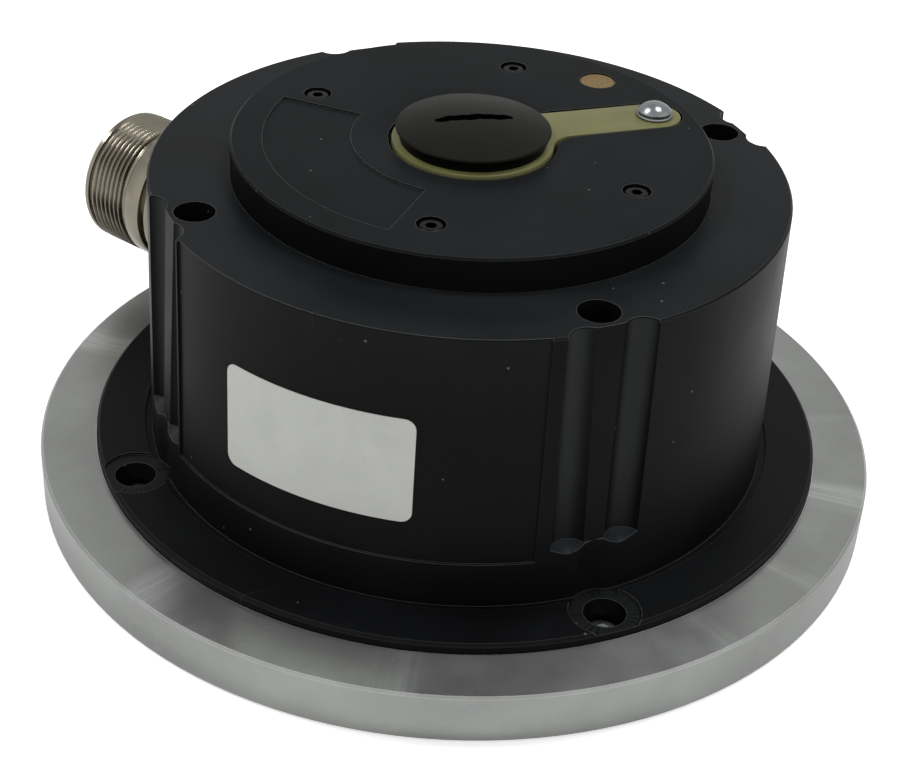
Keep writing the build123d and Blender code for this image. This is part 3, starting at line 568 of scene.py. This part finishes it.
def circuit_green():
    """Solder mask over fine copper tracks."""
    material, tree, shader = new_finish("board_green", specular=0.5)
    place = object_coordinates(tree)
    cells = add(
        tree,
        "ShaderNodeTexVoronoi",
        {"Vector": place, "Scale": 420.0},
        distance="MANHATTAN",
        feature="F1",
    ).outputs["Distance"]
    track = spread(tree, cells, 0.42, 0.46, 0, 1)
    tint = blend(tree, track, (0.010, 0.085, 0.030, 1), (0.020, 0.150, 0.055, 1))
    feed(tree, shader, "Base Color", tint)
    feed(tree, shader, "Roughness", spread(tree, track, 0, 1, 0.42, 0.30))
    feed(tree, shader, "Normal", bump(tree, track, 0.2, 0.00003))
    return material


def label_foil():
    """Bare polyester label with a faint unevenness."""
    material, tree, shader = new_finish("label_foil", specular=0.35)
    place = object_coordinates(tree)
    cloud = noise(tree, place, 160.0, 3.0, 0.6)
    base = colours().label
    tint = blend(
        tree,
        spread(tree, cloud, 0.3, 0.7, 0, 1),
        (base[0] * 0.93, base[1] * 0.93, base[2] * 0.92, 1),
        (base[0] * 1.04, base[1] * 1.04, base[2] * 1.04, 1),
    )
    specks = dust(tree, place, 900.0, 0.16)
    tint = blend(tree, product(tree, specks, 0.25), tint, (0.10, 0.10, 0.10, 1))
    feed(tree, shader, "Base Color", tint)
    feed(tree, shader, "Roughness", spread(tree, cloud, 0.3, 0.7, 0.30, 0.42))
    feed(tree, shader, "Normal", bump(tree, noise(tree, place, 700.0, 2.0), 0.05, 0.00003))
    return material


def make_finishes():
    """Every finish by its name: the record's slots, label_foil, and a paler zinc with painted light
    for the flange screws.
    """
    c = colours()
    return {
        "ring_aluminium": bare_aluminium(),
        # the last number of each black is the strength of its painted edge highlight
        "black_anodised": black_finish("black_anodised", c.black, 0.34, 0.46, 0.07, 0.42),
        "cover_black": black_finish("cover_black", c.cover, 0.36, 0.48, 0.04, 0.42),
        # the plug's sides take painted shade, 0.12 of its colour
        "plug_black": moulded("plug_black", c.plug[:3], 0.36, 0.07, 1400.0, 0.12),
        "strap_olive": olive_plate(),
        "zinc_screw": plated("zinc_screw", c.zinc, 0.16, 0.26),
        # painted light: a paler copy of the zinc, for the flange screws' heads
        "painted_light_zinc": plated("painted_light_zinc", (0.80, 0.82, 0.81), 0.20, 0.32),
        "black_screw": plated("black_screw", (0.011, 0.011, 0.012), 0.24, 0.38),
        "nickel": plated("nickel", c.nickel, 0.17, 0.24, 900.0, 0.02),
        "insert_grey": moulded("insert_grey", (0.085, 0.085, 0.088), 0.45),
        "gold_contact": plated("gold_contact", (0.72, 0.48, 0.16), 0.12, 0.2),
        "sintered_bronze": porous_bronze(),
        "seal_rubber": moulded("seal_rubber", (0.012, 0.012, 0.013), 0.55, 0.4),
        "bearing_steel": turned_metal("bearing_steel", (0.50, 0.51, 0.52), 0.18),
        "cage_plastic": moulded("cage_plastic", (0.030, 0.028, 0.024), 0.5),
        "spring_steel": turned_metal("spring_steel", (0.42, 0.42, 0.41), 0.3),
        "shaft_steel": turned_metal("shaft_steel", (0.45, 0.45, 0.44), 0.24),
        "carrier_aluminium": turned_metal("carrier_aluminium", (0.50, 0.50, 0.49), 0.32),
        "code_glass": coded_glass(),
        "board_green": circuit_green(),
        "chip_black": moulded("chip_black", (0.018, 0.018, 0.019), 0.5),
        "header_white": moulded("header_white", (0.62, 0.60, 0.54), 0.45),
        "lead_jacket": moulded("lead_jacket", (0.14, 0.14, 0.145), 0.5),
        "label_foil": label_foil(),
    }


def coat(piece, slot):
    """Gives a piece its finish, made once for all that share it."""
    material = bpy.data.materials.get(slot)
    if material is None:
        raise RuntimeError(f"the finish {slot} has not been made yet")
    piece.data.materials.clear()
    piece.data.materials.append(material)


# Modelling helpers


def clear_selection():
    if bpy.context.mode != "OBJECT":
        bpy.ops.object.mode_set(mode="OBJECT")
    bpy.ops.object.select_all(action="DESELECT")


def pick(piece):
    clear_selection()
    piece.select_set(True)
    bpy.context.view_layer.objects.active = piece


def merged_copy(node, name):
    """A copy of a CAD node with its loose triangles joined, which then stands for the node."""
    pick(frame["nodes"][node])
    bpy.ops.object.duplicate()
    piece = bpy.context.active_object
    piece.name = piece.data.name = name
    piece.parent = None
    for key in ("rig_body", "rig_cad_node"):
        del piece[key]
    bpy.ops.mesh.customdata_custom_splitnormals_clear()
    bpy.ops.object.mode_set(mode="EDIT")
    bpy.ops.mesh.select_all(action="SELECT")
    bpy.ops.mesh.remove_doubles(threshold=2e-6)
    bpy.ops.mesh.select_all(action="DESELECT")
    bpy.ops.object.mode_set(mode="OBJECT")
    return piece


def smooth(piece, angle=30):
    pick(piece)
    bpy.ops.object.shade_smooth_by_angle(angle=radians(angle))


def turned(name, outline, steps):
    """Turns an outline of (radius, height) points about Z: extruded point by point, then spun."""
    clear_selection()
    bpy.ops.mesh.primitive_plane_add(size=0.001)
    piece = bpy.context.active_object
    piece.name = piece.data.name = name
    bpy.ops.object.mode_set(mode="EDIT")
    bpy.ops.mesh.merge(type="CENTER")
    radius, height = outline[0]
    bpy.ops.transform.translate(value=(radius, 0, height))
    closed = outline[0][0] > 0 and outline[-1][0] > 0
    points = outline[1:] + outline[:1] if closed else outline[1:]
    for next_radius, next_height in points:
        step = (next_radius - radius, 0, next_height - height)
        bpy.ops.mesh.extrude_region_move(TRANSFORM_OT_translate={"value": step})
        radius, height = next_radius, next_height
    bpy.ops.mesh.select_all(action="SELECT")
    bpy.ops.mesh.spin(steps=steps, angle=tau, center=(0, 0, 0), axis=(0, 0, 1))
    bpy.ops.mesh.select_all(action="SELECT")
    bpy.ops.mesh.remove_doubles(threshold=1e-6)
    bpy.ops.mesh.normals_make_consistent(inside=False)
    bpy.ops.object.mode_set(mode="OBJECT")
    return piece


def settle(piece, matrix):
    """Puts a piece at its place and leaves the place in its mesh."""
    pick(piece)
    piece.matrix_world = matrix @ piece.matrix_world
    bpy.ops.object.transform_apply(location=True, rotation=True, scale=True)


def apply_modifier(piece, kind, **settings):
    pick(piece)
    modifier = piece.modifiers.new(kind.title(), kind)
    for key, value in settings.items():
        setattr(modifier, key, value)
    bpy.ops.object.modifier_apply(modifier=modifier.name)


def cut(piece, tool):
    """Takes a closed tool out of a piece and throws the tool away."""
    apply_modifier(piece, "BOOLEAN", object=tool, operation="DIFFERENCE", solver="EXACT")
    bpy.data.objects.remove(tool)


def hex_tool(radius, low, high):
    """A six-sided rod that cuts a screw's socket."""
    clear_selection()
    middle = (0, 0, (low + high) / 2)
    bpy.ops.mesh.primitive_cylinder_add(
        vertices=6, radius=radius, depth=high - low, location=middle
    )
    return bpy.context.active_object


def about_axis(angle, circle):
    """Place of a screw on a circle about the shaft's axis, the angle in degrees."""
    return Matrix.Rotation(radians(angle), 4, "Z") @ Matrix.Translation((circle, 0, 0))


def copy_piece(piece, name, matrix):
    """A copy with a mesh of its own, moved by a matrix."""
    pick(piece)
    bpy.ops.object.duplicate()
    twin = bpy.context.active_object
    twin.name = twin.data.name = name
    settle(twin, matrix)
    return twin


def hand_over(piece, slot, body, *nodes):
    """Last step of each piece: finish, carrier and the CAD nodes that it stands for.
    """
    coat(piece, slot)
    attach(piece, body)
    if nodes:
        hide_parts(*nodes)


def arc(centre, radius, start, end, count):
    """Points of an arc in an outline, angles in degrees."""
    angles = [radians(start + (end - start) * i / count) for i in range(count + 1)]
    return [(centre[0] + radius * cos(a), centre[1] + radius * sin(a)) for a in angles]


def top_of(node):
    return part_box(node)[1].z


def foot_of(node):
    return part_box(node)[0].z


# Operators, one for each piece or group of like pieces


class ENCODER_OT_finishes(bpy.types.Operator):
    """Makes the finishes and lays them on the CAD pieces"""

    bl_idname = "encoder.finishes"
    bl_label = "Finishes"

    def execute(self, context):
        made = make_finishes()
        slots = {row["node"]: row["material_slot"] for row in frame["record"]["subparts"]}
        for node, piece in frame["nodes"].items():
            piece.data.materials.clear()
            piece.data.materials.append(made[slots[node]])
        return {"FINISHED"}


class ENCODER_OT_adapter_ring(bpy.types.Operator):
    """Bare turned ring that the housing stands in"""

    bl_idname = "encoder.adapter_ring"
    bl_label = "Adapter Ring"

    def execute(self, context):
        ring = merged_copy("adapter_ring", "turned_adapter_ring")
        smooth(ring)
        hand_over(ring, "ring_aluminium", BODY, "adapter_ring")
        return {"FINISHED"}


class ENCODER_OT_housing(bpy.types.Operator):
    """Black housing with its flange, flutes and screw pockets"""

    bl_idname = "encoder.housing"
    bl_label = "Housing"

    def execute(self, context):
        shell = merged_copy("housing", "black_housing")
        smooth(shell)
        hand_over(shell, "black_anodised", BODY, "housing")
        return {"FINISHED"}


class ENCODER_OT_cover(bpy.types.Operator):
    """Cover disc with its raised and sunken fields"""

    bl_idname = "encoder.cover"
    bl_label = "Cover Disc"

    def execute(self, context):
        cover = merged_copy("cover_disc", "cover_plate")
        smooth(cover)
        hand_over(cover, "cover_black", BODY, "cover_disc")
        return {"FINISHED"}


class ENCODER_OT_cover_screws(bpy.types.Operator):
    """Small socket screws sunk in the cover"""

    bl_idname = "encoder.cover_screws"
    bl_label = "Cover Screws"

    circle: length("Circle", 0.0276)
    head: length("Head Radius", 0.00175)

    def execute(self, context):
        low, top = foot_of("cover_screws"), top_of("cover_screws")
        seat = top - 0.0014
        shank, rim, edge = 0.00125, 0.00105, 0.00025
        outline = [
            (0, low),
            (shank, low),
            (shank, seat),
            (self.head, seat),
            *arc((self.head - edge, top - edge), edge, 0, 90, 4),
            (rim, top),
            (0, top),
        ]
        screw = turned("cover_screw_1", outline, 48)
        cut(screw, hex_tool(0.00088, top - 0.0008, top + 0.001))
        smooth(screw)
        screws = [screw]
        for number, angle in enumerate(COVER_SCREW_ANGLES[1:], 2):
            place = about_axis(angle, self.circle)
            screws.append(copy_piece(screw, f"cover_screw_{number}", place))
        settle(screw, about_axis(COVER_SCREW_ANGLES[0], self.circle))
        for piece in screws:
            hand_over(piece, "black_screw", BODY, "cover_screws")
        return {"FINISHED"}


class ENCODER_OT_vent(bpy.types.Operator):
    """Porous bronze disc that lets the housing breathe"""

    bl_idname = "encoder.vent"
    bl_label = "Vent Disc"

    def execute(self, context):
        low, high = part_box("vent_disc")
        centre = (low + high) / 2
        radius = (high.x - low.x) / 2
        edge = 0.0003
        outline = [
            (0, low.z),
            (radius, low.z),
            *arc((radius - edge, high.z - edge), edge, 0, 90, 4),
            (radius * 0.5, high.z - 0.00004),
            (0, high.z - 0.00008),
        ]
        disc = turned("porous_vent", outline, 64)
        settle(disc, Matrix.Translation((centre.x, centre.y, 0)))
        smooth(disc)
        hand_over(disc, "sintered_bronze", BODY, "vent_disc")
        return {"FINISHED"}


class ENCODER_OT_strap(bpy.types.Operator):
    """Stamped strap that keeps the plug's ring, with broken edges"""

    bl_idname = "encoder.strap"
    bl_label = "Retaining Strap"

    def execute(self, context):
        strap = merged_copy("retaining_strap", "olive_strap")
        pick(strap)
        bpy.ops.object.mode_set(mode="EDIT")
        bpy.ops.mesh.select_all(action="SELECT")
        bpy.ops.mesh.dissolve_limited(angle_limit=radians(0.5))
        bpy.ops.object.mode_set(mode="OBJECT")
        apply_modifier(
            strap, "BEVEL", width=0.00016, segments=2, limit_method="ANGLE", angle_limit=radians(50)
        )
        smooth(strap, 35)
        hand_over(strap, "strap_olive", BODY, "retaining_strap")
        return {"FINISHED"}


class ENCODER_OT_strap_fastener(bpy.types.Operator):
    """Washer and domed screw that hold the strap"""

    bl_idname = "encoder.strap_fastener"
    bl_label = "Strap Screw and Washer"

    head: length("Head Radius", 0.0026)

    def execute(self, context):
        low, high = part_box("strap_washer")
        centre = (low + high) / 2
        place = Matrix.Translation((centre.x, centre.y, 0))
        shank, chamfer, drawn_in = 0.0015, 0.0002, 0.0004
        outer, inner = (high.x - low.x) / 2 - drawn_in, 0.0017
        edge = (high.z - low.z) * 0.42
        washer = turned(
            "strap_washer_ring",
            [
                (inner, low.z),
                (outer - edge, low.z),
                *arc((outer - edge, low.z + edge), edge, -90, 0, 3)[1:],
                *arc((outer - edge, high.z - edge), edge, 0, 90, 3),
                (inner, high.z),
            ],
            72,
        )
        settle(washer, place)
        smooth(washer)
        hand_over(washer, "zinc_screw", BODY, "strap_washer")
        foot, seat = foot_of("strap_screw"), high.z
        top = top_of("strap_screw") - 0.00025
        side = seat + 0.00040
        rise = top - side
        sphere = (self.head**2 + rise**2) / (2 * rise)
        half = degrees(asin(self.head / sphere))
        crown = arc((0, top - sphere), sphere, 90 - half, 90, 14)
        screw = turned(
            "strap_pan_screw",
            [
                (0, foot),
                (shank, foot),
                (shank, seat),
                (self.head - chamfer, seat),
                (self.head, seat + chamfer),
                *crown,
            ],
            72,
        )
        settle(screw, place)
        smooth(screw, 40)
        hand_over(screw, "zinc_screw", BODY, "strap_screw")
        return {"FINISHED"}


class ENCODER_OT_plug(bpy.types.Operator):
    """Domed sealing plug with a rough coin slot"""

    bl_idname = "encoder.plug"
    bl_label = "Sealing Plug"

    slot_angle: bpy.props.FloatProperty(name="Slot Angle", default=radians(-12.7), subtype="ANGLE")
    slot_length: length("Slot Length", 0.0118)
    slot_width: length("Slot Width", 0.0018)
    slot_depth: length("Slot Depth", 0.0016)
    wander: length("Slot Wander", 0.00012)

    def execute(self, context):
        foot, crown = foot_of("sealing_plug"), top_of("sealing_plug")
        strap_top = top_of("retaining_strap")
        hollow, bore, chamfer, edge = 0.005, 0.0065, 0.0003, 0.00035
        thread, ring_groove, side, rim_radius = 0.0100, 0.0086, 0.0110, 0.0117
        groove_foot, groove_top = strap_top - 0.0033, strap_top - 0.0015
        rim = strap_top + 0.0020
        rise = crown - rim
        sphere = (rim_radius**2 + rise**2) / (2 * rise)
        half = degrees(asin(rim_radius / sphere))
        outline = [
            (0, foot + hollow),
            (bore, foot + hollow),
            (bore, foot),
            (thread - chamfer, foot),
            (thread, foot + chamfer),
            (thread, groove_foot),
            (ring_groove, groove_foot),
            (ring_groove, groove_top),
            (thread, groove_top),
            (thread, strap_top),
            (side, strap_top),
            (side, rim - 0.0006),
            (rim_radius - edge * 0.3, rim - edge),
            (rim_radius, rim - edge * 0.4),
            *arc((0, crown - sphere), sphere, 90 - half * 0.985, 90, 26),
        ]
        plug = turned("domed_plug", outline, 160)
        cut(plug, self.rough_slot(crown))
        smooth(plug, 28)
        hand_over(plug, "plug_black", PLUG_BODY, "sealing_plug")
        return {"FINISHED"}

    def rough_slot(self, crown):
        """A slot tool whose long sides wander a little, as if moulded and worn."""
        clear_selection()
        bpy.ops.mesh.primitive_cube_add(size=1, location=(0, 0, crown))
        tool = bpy.context.active_object
        tool.scale = (self.slot_length, self.slot_width, 2 * self.slot_depth)
        bpy.ops.object.transform_apply(location=True, rotation=True, scale=True)
        bpy.ops.object.mode_set(mode="EDIT")
        bpy.ops.mesh.select_all(action="SELECT")
        bpy.ops.mesh.subdivide(number_cuts=3)
        bpy.ops.object.mode_set(mode="OBJECT")
        apply_modifier(tool, "SUBSURF", subdivision_type="SIMPLE", levels=2, render_levels=2)
        half = self.slot_length / 2
        for vertex in tool.data.vertices:
            along = vertex.co.x / half
            taper = 1 - 0.55 * abs(along) ** 5
            waves = sin(vertex.co.x * 2900) + sin(vertex.co.x * 7100 + vertex.co.y * 3000)
            vertex.co.y = vertex.co.y * taper + self.wander * waves * taper
        settle(tool, Matrix.Rotation(self.slot_angle, 4, "Z"))
        return tool


class ENCODER_OT_connector(bpy.types.Operator):
    """Threaded connector shell with its collars and grooves"""

    bl_idname = "encoder.connector"
    bl_label = "Connector Shell"

    def execute(self, context):
        s = sizes()
        crest = 0.0115
        root = crest - s.thread_depth
        axis_height, spigot_foot, seat, end = 0.0266, 0.0404, 0.0474, 0.0744
        insert_bore, spigot, gasket_groove, groove = 0.0074, 0.0085, 0.0092, 0.0106
        collar_end, groove_end, thread_foot = 0.0600, 0.0612, 0.0652
        floor, socket = 0.0550, 0.0096
        edge, fine_edge = 0.0003, 0.0001
        outline = [
            (insert_bore, spigot_foot),
            (spigot, spigot_foot),
            (spigot, seat),
            (gasket_groove, seat),
            (gasket_groove, seat + 0.0009),
            (groove, seat + 0.0009),
            (groove, seat),
            (crest - edge, seat),
            (crest, seat + edge),
            (crest, collar_end - 0.0014),
            *arc((crest - edge, collar_end - edge), edge, 0, 90, 3),
            (groove, collar_end),
            (groove, groove_end),
            *arc((crest - edge, groove_end + edge), edge, -90, 0, 3),
            (crest, thread_foot - 0.0008),
            (crest - fine_edge, thread_foot - 0.0006),
            (root, thread_foot - fine_edge),
            (root, end - 0.0013),
            (crest - fine_edge, end - 0.0010),
            (crest - fine_edge / 2, end - 0.0004),
            (crest - edge, end),
            (socket + 0.0002, end),
            (socket, end - 0.0002),
            (socket, floor),
            (insert_bore, floor),
        ]
        shell = turned("connector_barrel", outline, s.turn_steps)
        thread = self.thread(root, crest, thread_foot)
        outwards = Matrix.Translation((0, 0, axis_height)) @ Matrix.Rotation(pi / 2, 4, "Y")
        along = Matrix.Rotation(s.connector_angle, 4, "Z") @ outwards
        for piece in (shell, thread):
            settle(piece, along)
            smooth(piece, 35)
            hand_over(piece, "nickel", BODY, "connector_shell")
        return {"FINISHED"}

    def thread(self, root, crest, foot):
        """The thread's ridge: one tooth drawn by its corners, swept round and outwards by Screw."""
        s = sizes()
        pitch = s.thread_pitch
        clear_selection()
        bpy.ops.mesh.primitive_plane_add(size=0.001)
        ridge = bpy.context.active_object
        ridge.name = ridge.data.name = "connector_thread_ridge"
        bpy.ops.object.mode_set(mode="EDIT")
        bpy.ops.mesh.merge(type="CENTER")
        bury = 0.00012
        tooth = [
            (root - bury, 0.02 * pitch),
            (root + 0.04 * s.thread_depth, 0.12 * pitch),
            (crest - 0.05 * s.thread_depth, 0.42 * pitch),
            (crest, 0.46 * pitch),
            (crest, 0.54 * pitch),
            (crest - 0.05 * s.thread_depth, 0.58 * pitch),
            (root + 0.04 * s.thread_depth, 0.88 * pitch),
            (root - bury, 0.98 * pitch),
        ]
        radius, height = tooth[0]
        bpy.ops.transform.translate(value=(radius, 0, foot + height))
        for next_radius, next_height in tooth[1:] + tooth[:1]:
            step = (next_radius - radius, 0, next_height - height)
            bpy.ops.mesh.extrude_region_move(TRANSFORM_OT_translate={"value": step})
            radius, height = next_radius, next_height
        bpy.ops.mesh.select_all(action="SELECT")
        bpy.ops.mesh.remove_doubles(threshold=1e-7)
        bpy.ops.object.mode_set(mode="OBJECT")
        turns, steps = s.thread_turns, 96 * s.thread_turns
        reach = {"angle": tau * turns, "screw_offset": pitch * turns, "axis": "Z"}
        apply_modifier(ridge, "SCREW", steps=steps, render_steps=steps, **reach)
        bpy.ops.object.mode_set(mode="EDIT")
        bpy.ops.mesh.select_all(action="DESELECT")
        bpy.ops.mesh.select_non_manifold()
        bpy.ops.mesh.fill()
        bpy.ops.mesh.select_all(action="SELECT")
        bpy.ops.mesh.normals_make_consistent(inside=False)
        bpy.ops.object.mode_set(mode="OBJECT")
        return ridge


class ENCODER_OT_label(bpy.types.Operator):
    """Bare label on the wall's shallow flat, with round corners"""

    bl_idname = "encoder.label"
    bl_label = "Bare Label"

    thickness: length("Thickness", 0.00012)
    corner: length("Corner Radius", 0.0017)

    def execute(self, context):
        s = sizes()
        clear_selection()
        bpy.ops.mesh.primitive_plane_add(size=1)
        label = bpy.context.active_object
        label.name = label.data.name = "bare_label"
        label.scale = (s.label_width, s.label_height, 1)
        bpy.ops.object.transform_apply(location=True, rotation=True, scale=True)
        bpy.ops.object.mode_set(mode="EDIT")
        bpy.ops.mesh.select_all(action="SELECT")
        bpy.ops.mesh.bevel(affect="VERTICES", offset=self.corner, segments=8)
        bpy.ops.mesh.select_all(action="SELECT")
        strips = 36
        for strip in range(1, strips):
            x = s.label_width * (strip / strips - 0.5)
            bpy.ops.mesh.select_all(action="SELECT")
            bpy.ops.mesh.bisect(plane_co=(x, 0, 0), plane_no=(1, 0, 0))
        bpy.ops.object.mode_set(mode="OBJECT")
        apply_modifier(label, "SOLIDIFY", thickness=self.thickness, offset=1.0)
        for vertex in label.data.vertices:
            flat = vertex.co.copy()
            height = s.label_foot + s.label_height / 2 + flat.y
            radius = self.wall_radius(height) + flat.z
            angle = s.label_angle + flat.x / self.wall_radius(height)
            vertex.co = (radius * cos(angle), radius * sin(angle), height)
        pick(label)
        bpy.ops.object.mode_set(mode="EDIT")
        bpy.ops.mesh.select_all(action="SELECT")
        bpy.ops.mesh.normals_make_consistent(inside=False)
        bpy.ops.object.mode_set(mode="OBJECT")
        smooth(label, 40)
        hand_over(label, "label_foil", BODY)
        return {"FINISHED"}

    def wall_radius(self, height):
        """Radius of the label's flat, which follows the wall's taper."""
        share = (height - WALL_FOOT) / (WALL_TOP - WALL_FOOT)
        wall = WALL_FOOT_RADIUS + (WALL_TOP_RADIUS - WALL_FOOT_RADIUS) * share
        return wall - LABEL_FLAT_DEPTH + LABEL_CLEARANCE


class ENCODER_OT_flange_screws(bpy.types.Operator):
    """Low-head screws in the flange's pockets, in a paler zinc with painted light"""

    bl_idname = "encoder.flange_screws"
    bl_label = "Flange Screws"

    circle: length("Circle", FLANGE_SCREW_CIRCLE)

    def execute(self, context):
        foot, top = foot_of("flange_screws"), top_of("flange_screws")
        seat = top - 0.0020
        shank, head, rim = 0.0015, 0.00275, 0.00165
        chamfer, crown = 0.00013, 0.00080
        outline = [
            (0, foot),
            (shank, foot),
            (shank, seat),
            (head - chamfer, seat),
            (head, seat + chamfer),
            *arc((head - crown, top - crown), crown, 0, 90, 7),
            (rim, top),
            (0, top),
        ]
        screw = turned("flange_screw_1", outline, 64)
        cut(screw, hex_tool(0.00144, top - 0.0011, top + 0.001))
        smooth(screw)
        for number, angle in enumerate((90, 180, 270), 2):
            twin = copy_piece(screw, f"flange_screw_{number}", about_axis(angle, self.circle))
            hand_over(twin, "zinc_screw", BODY, "flange_screws")
            coat(twin, "painted_light_zinc")
        settle(screw, Matrix.Translation((self.circle, 0, 0)))
        hand_over(screw, "zinc_screw", BODY, "flange_screws")
        coat(screw, "painted_light_zinc")
        return {"FINISHED"}


class ENCODER_OT_stage(bpy.types.Operator):
    """Pale floor, soft sky and lamps, and the camera"""

    bl_idname = "encoder.stage"
    bl_label = "Stage"

    lamp_size: length("Lamp Size", 0.42)
    lamp_power: bpy.props.FloatProperty(name="Lamp Power", default=9.0, unit="POWER")

    def execute(self, context):
        clear_selection()
        bpy.ops.mesh.primitive_circle_add(vertices=64, radius=2.5, fill_type="NGON")
        floor = bpy.context.active_object
        floor.name = "pale_floor"
        floor.data.materials.append(self.floor_finish())
        self.sky(context.scene)
        self.lamp("ceiling_left", (-0.73, 0.58, 1.50))
        self.lamp("ceiling_right", (0.51, 0.05, 1.50))
        bpy.ops.object.camera_add(
            location=(-0.107202, -0.229896, 0.182642),
            rotation=(radians(56.2365), radians(-2.8023), radians(-23.0578)),
        )
        camera = bpy.context.active_object
        camera.name = "photo_camera"
        camera.data.lens = 73.78
        camera.data.sensor_width = 36
        camera.data.clip_start = 0.01
        context.scene.camera = camera
        context.scene.view_settings.view_transform = "Standard"
        return {"FINISHED"}

    def floor_finish(self):
        material = bpy.data.materials.new("pale_floor")
        material.use_nodes = True
        tree = material.node_tree
        tree.nodes.clear()
        paper = add(tree, "ShaderNodeBsdfDiffuse", {"Color": colours().floor[:]}).outputs[0]
        seen = add(tree, "ShaderNodeLightPath").outputs["Is Camera Ray"]
        glow = {"Color": (1, 1, 1, 1), "Strength": product(tree, seen, 0.45)}
        lift = add(tree, "ShaderNodeEmission", glow).outputs[0]
        both = add(tree, "ShaderNodeAddShader", {0: paper, 1: lift}).outputs[0]
        add(tree, "ShaderNodeOutputMaterial", {"Surface": both})
        return material

    def sky(self, scene):
        """Pale near the horizon and darker overhead, as in a room."""
        world = bpy.data.worlds.new("studio_sky")
        scene.world = world
        world.use_nodes = True
        tree = world.node_tree
        tree.nodes.clear()
        direction = add(tree, "ShaderNodeTexCoord").outputs["Generated"]
        upward = add(tree, "ShaderNodeSeparateXYZ", {0: direction}).outputs[2]
        behind = {0: direction, 1: (0.39, 0.92, 0)}
        facing = add(tree, "ShaderNodeVectorMath", behind, operation="DOT_PRODUCT")
        back = spread(tree, facing.outputs["Value"], -0.35, 0.45, 1.00, 0.60, True)
        height = spread(tree, upward, 0.55, 0.98, 1.0, 0.55, True)
        light = product(tree, back, height)
        glow = {"Color": (1.0, 1.0, 0.99, 1), "Strength": light}
        sky = add(tree, "ShaderNodeBackground", glow).outputs[0]
        add(tree, "ShaderNodeOutputWorld", {"Surface": sky})

    def lamp(self, name, place):
        bpy.ops.object.light_add(type="AREA", location=place)
        lamp = bpy.context.active_object
        lamp.name = name
        lamp.data.shape = "DISK"
        lamp.data.size = self.lamp_size
        lamp.data.energy = self.lamp_power
        aim = Vector((0, 0, 0.05)) - Vector(place)
        lamp.rotation_euler = aim.to_track_quat("-Z", "Y").to_euler()


OPERATORS = (
    ENCODER_OT_finishes,
    ENCODER_OT_adapter_ring,
    ENCODER_OT_housing,
    ENCODER_OT_cover,
    ENCODER_OT_cover_screws,
    ENCODER_OT_vent,
    ENCODER_OT_strap,
    ENCODER_OT_strap_fastener,
    ENCODER_OT_plug,
    ENCODER_OT_connector,
    ENCODER_OT_label,
    ENCODER_OT_flange_screws,
    ENCODER_OT_stage,
)


class ENCODER_PT_panel(bpy.types.Panel):
    """Lists the encoder's pieces in the order that they are built"""

    bl_idname = "ENCODER_PT_panel"
    bl_label = "Motor Feedback Encoder"
    bl_space_type = "VIEW_3D"
    bl_region_type = "UI"
    bl_category = "Encoder"

    def draw(self, context):
        for group in (context.scene.encoder_sizes, context.scene.encoder_colours):
            box = self.layout.box()
            for name in group.__annotations__:
                box.prop(group, name)
        for operator in OPERATORS:
            self.layout.operator(operator.bl_idname)


CLASSES = (EncoderSizes, EncoderColours, *OPERATORS, ENCODER_PT_panel)


def register():
    for cls in CLASSES:
        bpy.utils.register_class(cls)
    bpy.types.Scene.encoder_sizes = bpy.props.PointerProperty(type=EncoderSizes)
    bpy.types.Scene.encoder_colours = bpy.props.PointerProperty(type=EncoderColours)


def unregister():
    del bpy.types.Scene.encoder_colours
    del bpy.types.Scene.encoder_sizes
    for cls in reversed(CLASSES):
        bpy.utils.unregister_class(cls)


def main():
    register()
    bpy.ops.encoder.finishes()
    bpy.ops.encoder.adapter_ring()
    bpy.ops.encoder.housing()
    bpy.ops.encoder.cover()
    bpy.ops.encoder.cover_screws()
    bpy.ops.encoder.vent()
    bpy.ops.encoder.strap()
    bpy.ops.encoder.strap_fastener()
    bpy.ops.encoder.plug()
    bpy.ops.encoder.connector()
    bpy.ops.encoder.label()
    bpy.ops.encoder.flange_screws()
    bpy.ops.encoder.stage()


if __name__ == "__main__":
    main()
